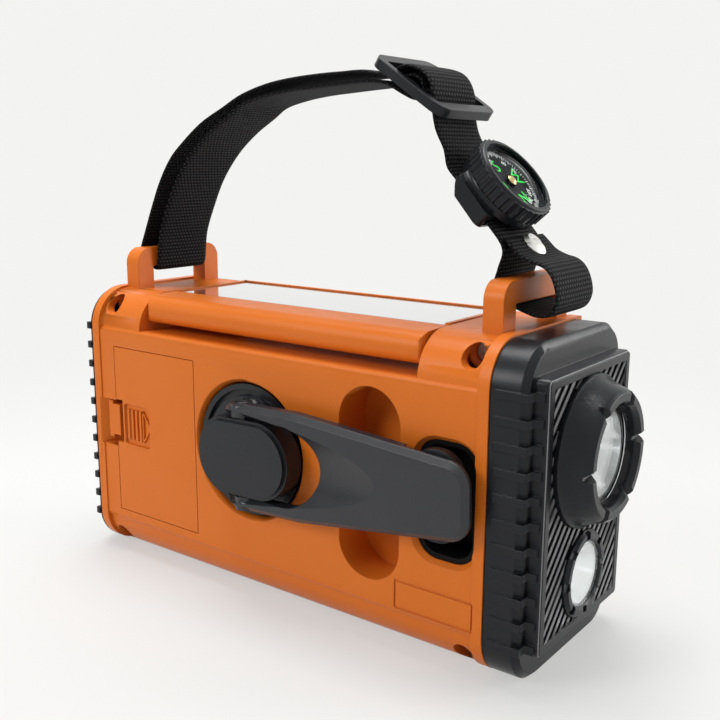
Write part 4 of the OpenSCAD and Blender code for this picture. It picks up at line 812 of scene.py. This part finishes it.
class RADIO_OT_strap(bpy.types.Operator):
    """Webbing strap, its buckle and its rivet"""
    bl_idname = "radio.strap"
    bl_label = "Strap"

    def execute(self, context):
        line = self.route()
        lo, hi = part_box("strap")
        width = hi.y - lo.y
        mesh = grown("strap_holder", tree_webbing(), polyline(line), {
            "Width": width, "Thickness": mm(1.2), "Along": 620, "Across": 25, "Material": self.fabric()})
        piece = add_piece("strap_webbing", mesh, "case", replaces=("strap",))
        smooth_copy("strap_slider", black())
        self.rivet()
        return {"FINISHED"}

    def route(self):
        """The strap's middle line in X and Z, as steps in millimetres from the bridges, the buckle and the compass."""
        case_top, bridge_x = mm(87.5), 67.5
        buckle_x, buckle_rise = 37.5, mm(60.8)
        compass_x, compass_z, compass_tilt = 55.9, 119.5, math.radians(49)
        lo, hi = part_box("strap")
        y = (lo.y + hi.y) / 2

        def left(x, z):
            return Vector((mm(x - bridge_x), y, case_top + mm(z)))

        def right(x, z):
            return Vector((mm(x + bridge_x), y, case_top + mm(z)))

        def mid(x, z):
            return Vector((mm(x + buckle_x), y, mm(z) + case_top + buckle_rise))

        def card(s):
            return Vector((mm(compass_x + s * math.cos(compass_tilt)), y, mm(compass_z - s * math.sin(compass_tilt))))

        steps = [
            mid(-4.5, 1.5), mid(-1.8, 2.7), mid(0.7, 2.6), mid(2.8, 0.85), mid(2.4, -1.6), mid(0.3, -3),
            mid(-3.3, -1.6), mid(-9, 1.1), mid(-16, 1.9), mid(-24, 1.6), mid(-34, 1), mid(-44, 0.3), mid(-53, -0.9),
            mid(-61.5, -2.9), left(37.5, 54.4), left(30, 50.1), left(23, 44.9), left(17.5, 39.3), left(13.2, 33.5),
            left(9.5, 26.5), left(5.7, 18), left(4.5, 11.5), left(4.2, 8.6), left(3.2, 6), left(0, 6.4),
            left(-3.2, 6), left(-4.2, 8.6), left(-4.1, 12), left(-1.2, 18.6), left(2.9, 27.4), left(6.8, 34.8),
            left(12, 41.9), left(18, 47), left(26.5, 52.8), left(35.4, 56.9), mid(-61.8, -0.4), mid(-52, 2.2),
            mid(-42.6, 3.5), mid(-32, 4.2), mid(-24, 4.4), mid(-17, 4.5), mid(-11.3, 3.6), mid(-8.2, 3), mid(-6.2, 4),
            mid(-3.3, 5.2), mid(-0.5, 5), mid(2.6, 3.8), mid(4.8, 1.5), mid(6.1, -2), mid(6.1, -5), mid(7.4, -11),
            mid(10, -16), card(-11), card(-7), card(0), card(7), right(-2.1, 20.6), right(-3.1, 15.4),
            right(-4.4, 11), right(-4.3, 8), right(-3.2, 6), right(0, 6.4), right(4, 5.2), right(8.2, 4.2),
            right(11.7, 5.2), right(13.2, 9), right(11.8, 13.9), right(9.2, 16.6), right(5.6, 17.6),
            right(2.5, 18.95), right(0.3, 20.9), right(-1.9, 22.9)]
        fine = 6
        ends = [steps[0], *steps, steps[-1]]
        line = []
        for a, b, c, d in zip(ends, ends[1:], ends[2:], ends[3:]):
            for t in (k / fine for k in range(fine)):
                straight = 2 * b + (c - a) * t
                bend, twist = 2 * a - 5 * b + 4 * c - d, 3 * b - a - 3 * c + d
                line.append(0.5 * (straight + bend * t * t + twist * t ** 3))
        return line + [steps[-1]]

    def rivet(self):
        """Rivet with a domed head that lies on the strap."""
        silver = metal("bright rivet", (0.84, 0.83, 0.79), 0.46)
        smooth_copy("strap_rivet", silver)
        head = [(mm(r), mm(z)) for r, z in ((3.3, 0.55), (3.3, 0.95), (2.7, 1.5), (1.5, 1.85), (0, 1.95))]
        lo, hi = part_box("strap_rivet")
        tilt = Matrix.Rotation(math.radians(42), 4, "Y")
        seat = Matrix.Translation((lo + hi) / 2) @ tilt @ Matrix.Translation(mm(1.3, 0, -0.95))
        add_piece("rivet_head", turned(head, seat, 40), "case", silver)

    def fabric(self):
        """Black yarn with painted glints on its crowns."""
        look = finishes()
        made, net, shader = blank("black webbing", Specular_IOR_Level=0.1)
        weave = net.group(woven_relief(), {"Along": look.rib_pitch, "Across": look.yarn_pitch})
        # Painted highlight: the yarn crowns get a lighter colour for the glints they catch
        lit = net.math("MULTIPLY", weave["Crown"], weave["Fuzz"])
        net.put(shader["Base Color"], net.blend(lit, look.webbing, look.yarn))
        net.put(shader["Roughness"], net.math("MULTIPLY_ADD", weave["Crown"], -0.18, 0.74))
        relief = {"Height": weave["Height"], "Distance": look.weave, "Strength": 1.0}
        net.put(shader["Normal"], net.add("ShaderNodeBump", relief))
        return made


class RADIO_OT_compass(bpy.types.Operator):
    """Button compass on the strap: body, toothed bezel, card with its marks, and lens"""
    bl_idname = "radio.compass"
    bl_label = "Compass"

    def execute(self, context):
        for node in ("compass_body", "compass_bezel"):
            smooth_copy(node, black())
        card = plastic("black card", (0.005, 0.005, 0.0055), (0.008, 0.008, 0.009), 0.5, Specular_IOR_Level=0.1)
        smooth_copy("compass_card", card)
        smooth_copy("compass_lens", clear("clear dome", rough=0.02, bend=1.05))
        self.prints(self.seat())
        return {"FINISHED"}

    def seat(self):
        """A seat on the card's face, with Y along the radio's own Y."""
        joint = JOINTS["compass_turn"]
        up, side = Vector(joint["axis"]).normalized(), Vector((0, 1, 0))
        made = Matrix((side.cross(up), side, up)).transposed().to_4x4()
        made.translation = Vector(joint["pos_m"]) + up * mm(0.42)
        return made

    def prints(self, seat):
        """Ticks, numerals, letters and the jewel in the middle."""

        def around(degrees, words, size, thick, reach):
            turn = Matrix.Rotation(math.radians(degrees), 4, "Z")
            return text_mesh(words, size, thick), seat @ turn @ Matrix.Translation((0, reach, 0))

        ink = white_marks()
        fine = ticks(tree_ring_ticks(), ink, Count=72, Radius=mm(9.45), Length=mm(1.1), Width=mm(0.24),
                     Thickness=mm(0.06))
        bold = ticks(tree_ring_ticks(), ink, Count=24, Radius=mm(9.25), Length=mm(1.6), Width=mm(0.34),
                     Thickness=mm(0.08))
        parts = [(fine, seat), (bold, seat)]
        parts += [around(d, str(d), mm(1.9), mm(0.04), mm(7.2)) for d in range(0, 360, 30) if d % 90]
        add_piece("compass_marks", joined(parts), "card", ink)
        north = -73
        letters = [around(north + 90 * i, letter, mm(5.2), mm(0.05), mm(5.3)) for i, letter in enumerate("NWSE")]
        green = marks("green print", finishes().letters, 0.45)
        add_piece("compass_letters", joined(letters), "card", green)
        dome = [(mm(r), mm(z)) for r, z in ((1.5, 0.55), (1.5, 0.9), (1.1, 1.25), (0.55, 1.45), (0, 1.5))]
        brass = metal("brass jewel", (0.62, 0.47, 0.22), 0.25)
        add_piece("compass_jewel", turned(dome, seat, 32), "card", brass)


class RADIO_OT_dial_face(bpy.types.Operator):
    """Tuning window, scale, knobs, switch and buttons on the far side"""
    bl_idname = "radio.dial_face"
    bl_label = "Dial face"

    def execute(self, context):
        for node in ("tuning_knob", "volume_knob", "band_switch", "torch_button", "lamp_button", "alert_button"):
            smooth_copy(node, black())
        smooth_copy("dial_window", clear("clear window"))
        smooth_copy("dial_scale", plastic("dark scale card", (0.012, 0.013, 0.015), (0.017, 0.018, 0.020), 0.5))
        smooth_copy("dial_pointer", plastic("red pointer", (0.52, 0.02, 0.015), (0.56, 0.03, 0.02), 0.3))
        self.scale()
        self.signs()
        return {"FINISHED"}

    def facing(self, x, y, z):
        """A seat on the far side, with X to the reader's right and Y up."""
        turn = Matrix.Rotation(math.pi, 4, "Z") @ Matrix.Rotation(math.radians(90), 4, "X")
        return Matrix.Translation((x, y, z)) @ turn

    def scale(self):
        """Two rows of ticks with their numbers below."""
        width, drop = mm(60), mm(1.8)
        lo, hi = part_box("dial_scale")
        seat = self.facing((lo.x + hi.x) / 2, hi.y, (lo.z + hi.z) / 2)
        ink = white_marks()
        parts = []
        for row, numbers in ((mm(4.6), "88 92 96 100 104 108"), (-mm(2.4), "53 60 80 100 130 170")):
            line = ticks(tree_row_ticks(), ink, Count=51, Row=width, Length=mm(1.3), Width=mm(0.22), Thickness=mm(0.1))
            parts.append((line, seat @ Matrix.Translation((0, row, 0))))
            words = numbers.split()
            for i, word in enumerate(words):
                at = width * (i / (len(words) - 1) - 0.5)
                parts.append((text_mesh(word, mm(2.7), mm(0.04)), seat @ Matrix.Translation((at, row - drop, 0))))
        add_piece("scale_marks", joined(parts), "case", ink)

    def signs(self):
        """A line on each knob and a ring of ticks round it."""
        ink = white_marks()
        half = mm(0.55)
        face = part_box("front_shell")[1].y - mm(0.36)
        for node, body, reach in (("tuning_knob", "tuning", 0.62), ("volume_knob", "volume", 0.60)):
            lo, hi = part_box(node)
            x, z, r = (lo.x + hi.x) / 2, (lo.z + hi.z) / 2, (hi.x - lo.x) / 2
            near, far = r * 0.22, r * reach
            outline = [(-half, near), (half, near), (half, far), (-half, far)]
            line = slab(outline, -mm(0.1), mm(0.06), self.facing(x, hi.y, z))
            add_piece(node + "_line", line, body, ink)
            ring = ticks(tree_ring_ticks(), ink, Count=16, Radius=r + mm(2.2), Length=mm(1.4), Width=mm(0.35),
                         Thickness=mm(0.1))
            ring.transform(self.facing(x, face, z))
            add_piece(node + "_ticks", ring, "case", ink)


class RADIO_OT_antenna(bpy.types.Operator):
    """Telescopic antenna in its ledge"""
    bl_idname = "radio.antenna"
    bl_label = "Antenna"

    def execute(self, context):
        for node in ("antenna_knuckle", "antenna_tube", "antenna_middle", "antenna_tip"):
            smooth_copy(node, chrome())
        return {"FINISHED"}


class RADIO_OT_insides(bpy.types.Operator):
    """Gears, generator, board, cells and speaker inside the case"""
    bl_idname = "radio.insides"
    bl_label = "Insides"

    def execute(self, context):
        cream = plastic("cream gear plastic", (0.66, 0.62, 0.50), (0.72, 0.68, 0.56), 0.42)
        for node in ("drive_gear", "idler_gear"):
            wear(node, cream)
        for node in ("idler_axle", "gear_plate", "generator", "battery_contacts"):
            wear(node, steel())
        wear("generator_pinion", metal("brass pinion", (0.66, 0.50, 0.24), 0.28))
        wear("main_board", self.board())
        ferrite = plastic("dull ferrite", (0.020, 0.020, 0.021), (0.034, 0.033, 0.033), 0.8, fineness=900.0,
                          depth=mm(0.1))
        wear("ferrite_bar", ferrite)
        wrap = plastic("blue cell wrap", (0.020, 0.070, 0.22), (0.030, 0.085, 0.25), 0.3)
        for node in ("rechargeable_cell", "battery_cells"):
            wear(node, wrap)
        paper = plastic("speaker cone paper", (0.018, 0.018, 0.019), (0.030, 0.030, 0.031), 0.8, fineness=1200.0,
                        depth=mm(0.12))
        wear("speaker", paper)
        return {"FINISHED"}

    def board(self):
        """Green board with paler copper tracks."""
        made, net, shader = blank("green board")
        x, _, z = net.split(net.place())
        track = net.add("ShaderNodeTexBrick", {
            "Vector": net.join(x, z, 0.0), "Color1": (0.012, 0.085, 0.030), "Color2": (0.016, 0.10, 0.036),
            "Mortar": (0.035, 0.17, 0.06), "Scale": 120.0, "Mortar Size": 0.05})
        speck = net.noise(net.place(), 700.0, 2.0)
        net.put(shader["Base Color"], track.outputs["Color"])
        net.put(shader["Roughness"], net.math("MULTIPLY_ADD", speck, 0.2, 0.3))
        return made


class RADIO_OT_stage(bpy.types.Operator):
    """Pale floor, soft light and the camera"""
    bl_idname = "radio.stage"
    bl_label = "Stage"

    def execute(self, context):
        stage = context.scene.radio_stage
        context.scene.view_settings.view_transform = "Standard"
        self.camera(context, stage)
        self.floor(context, stage)
        self.lights(context)
        self.room(context, stage)
        return {"FINISHED"}

    def looking(self, eye, aim):
        """A place at one point that looks at another."""
        eye = Vector(eye)
        turn = (Vector(aim) - eye).to_track_quat("-Z", "Y").to_matrix().to_4x4()
        return Matrix.Translation(eye) @ turn

    def camera(self, context, stage):
        data = bpy.data.cameras.new("photo camera")
        data.sensor_width = 36
        data.lens = stage.lens
        data.clip_start = 0.01
        camera = bpy.data.objects.new("photo_camera", data)
        context.scene.collection.objects.link(camera)
        camera.matrix_world = self.looking(stage.eye, stage.aim) @ Matrix.Rotation(stage.roll, 4, "Z")
        context.scene.camera = camera

    def floor(self, context, stage):
        """Pale floor that keeps the radio's shadow and fades to the backdrop's white."""
        shape = bmesh.new()
        bmesh.ops.create_circle(shape, cap_ends=True, segments=96, radius=6.0)
        mesh = as_mesh(shape, "floor")
        made, net, shader = blank("pale floor")
        where = net.place()
        speck = net.noise(where, 60.0, 3.0)
        net.put(shader["Base Color"], net.blend(speck, stage.floor, shaded(stage.floor, 0.985)))
        net.put(shader["Roughness"], net.math("MULTIPLY_ADD", speck, 0.1, 0.55))
        x, y, _ = net.split(where)
        behind_x, behind_y = -0.602, 0.799
        back = net.math("MULTIPLY_ADD", x, behind_x, net.math("MULTIPLY", y, behind_y))
        reach = net.add("ShaderNodeVectorMath", {0: where}, operation="LENGTH").outputs["Value"]
        far = net.math("MAXIMUM", net.ramp(back, 0.085, 0.16), net.ramp(reach, 0.3, 1.5))
        plain = net.add("ShaderNodeEmission", {"Color": net.blend(far, stage.white, stage.wall), "Strength": 1.0})
        share = net.math("MULTIPLY_ADD", net.ramp(reach, 0.13, 0.40), 1.0 - stage.glow, stage.glow)
        amount = net.math("MULTIPLY", self.seen(net), share)
        mixed = net.add("ShaderNodeMixShader", {"Fac": amount, 1: net.find("BSDF_PRINCIPLED"), 2: plain})
        net.put(net.find("OUTPUT_MATERIAL").inputs["Surface"], mixed)
        mesh.materials.append(made)
        floor = bpy.data.objects.new("floor", mesh)
        floor.location.z = CAD_BOX[0].z
        context.scene.collection.objects.link(floor)

    def seen(self, net):
        """One for rays that show the room: from the camera, off gloss and through clear pieces."""
        ray = net.add("ShaderNodeLightPath").outputs
        mirrored = net.math("MAXIMUM", ray["Is Glossy Ray"], ray["Is Transmission Ray"])
        return net.math("MAXIMUM", ray["Is Camera Ray"], mirrored)

    def lights(self, context):
        middle = (0, 0, 0.06)
        for name, place, size, power in (
                ("top light", (-0.15, 0.10, 0.95), 0.6, 9.5),
                ("front light", (-0.60, -1.1, 0.70), 0.5, 7.7),
                ("end light", (0.80, 0.85, 0.32), 0.6, 7.0)):
            data = bpy.data.lights.new(name, "AREA")
            data.shape = "SQUARE"
            data.size = size
            data.energy = power
            lamp = bpy.data.objects.new(name, data)
            lamp.matrix_world = self.looking(place, middle)
            context.scene.collection.objects.link(lamp)

    def room(self, context, stage):
        """White behind and above, dim on the crank's side as glossy faces mirror it, and an even soft light."""
        world = bpy.data.worlds.new("white room")
        world.use_nodes = True
        world.node_tree.nodes.clear()
        net = Net(world.node_tree)
        x, y, z = net.split(net.place("Generated"))
        pale = net.math("MAXIMUM", net.ramp(y, -0.35, 0.20), net.ramp(x, -0.15, 0.35))
        pale = net.math("MAXIMUM", pale, net.ramp(z, 0.40, 0.85))
        mirrored = net.math("MULTIPLY_ADD", pale, 1.0 - stage.dim, stage.dim)
        direct = net.add("ShaderNodeLightPath").outputs["Is Camera Ray"]
        level = net.math("MULTIPLY_ADD", direct, net.math("SUBTRACT", 1.0, mirrored), mirrored)
        even = net.add("ShaderNodeBackground", {"Color": (1.0, 1.0, 1.0), "Strength": stage.sky})
        shown = net.add("ShaderNodeBackground", {"Color": stage.wall, "Strength": level})
        both = net.add("ShaderNodeMixShader", {"Fac": self.seen(net), 1: even, 2: shown})
        net.add("ShaderNodeOutputWorld", {"Surface": both})
        context.scene.world = world


class RADIO_PT_panel(bpy.types.Panel):
    """Steps and settings of the radio"""
    bl_idname = "RADIO_PT_panel"
    bl_label = "Weather radio"
    bl_space_type = "VIEW_3D"
    bl_region_type = "UI"
    bl_category = "Radio"

    def draw(self, context):
        layout = self.layout
        for step in STEPS:
            layout.operator(step.bl_idname)
        for group in (context.scene.radio_finishes, context.scene.radio_stage):
            for key in group.__annotations__:
                layout.prop(group, key)


STEPS = (RADIO_OT_case, RADIO_OT_crank, RADIO_OT_torch_end, RADIO_OT_lid, RADIO_OT_strap, RADIO_OT_compass,
         RADIO_OT_dial_face, RADIO_OT_antenna, RADIO_OT_insides, RADIO_OT_stage)
CLASSES = (RadioFinishes, RadioStage, *STEPS, RADIO_PT_panel)


def register():
    for made in CLASSES:
        bpy.utils.register_class(made)
    bpy.types.Scene.radio_finishes = bpy.props.PointerProperty(type=RadioFinishes)
    bpy.types.Scene.radio_stage = bpy.props.PointerProperty(type=RadioStage)


def unregister():
    del bpy.types.Scene.radio_finishes
    del bpy.types.Scene.radio_stage
    for made in reversed(CLASSES):
        bpy.utils.unregister_class(made)


def main():
    register()
    bpy.ops.radio.case()
    bpy.ops.radio.crank()
    bpy.ops.radio.torch_end()
    bpy.ops.radio.lid()
    bpy.ops.radio.strap()
    bpy.ops.radio.compass()
    bpy.ops.radio.dial_face()
    bpy.ops.radio.antenna()
    bpy.ops.radio.insides()
    bpy.ops.radio.stage()


if __name__ == "__main__":
    main()
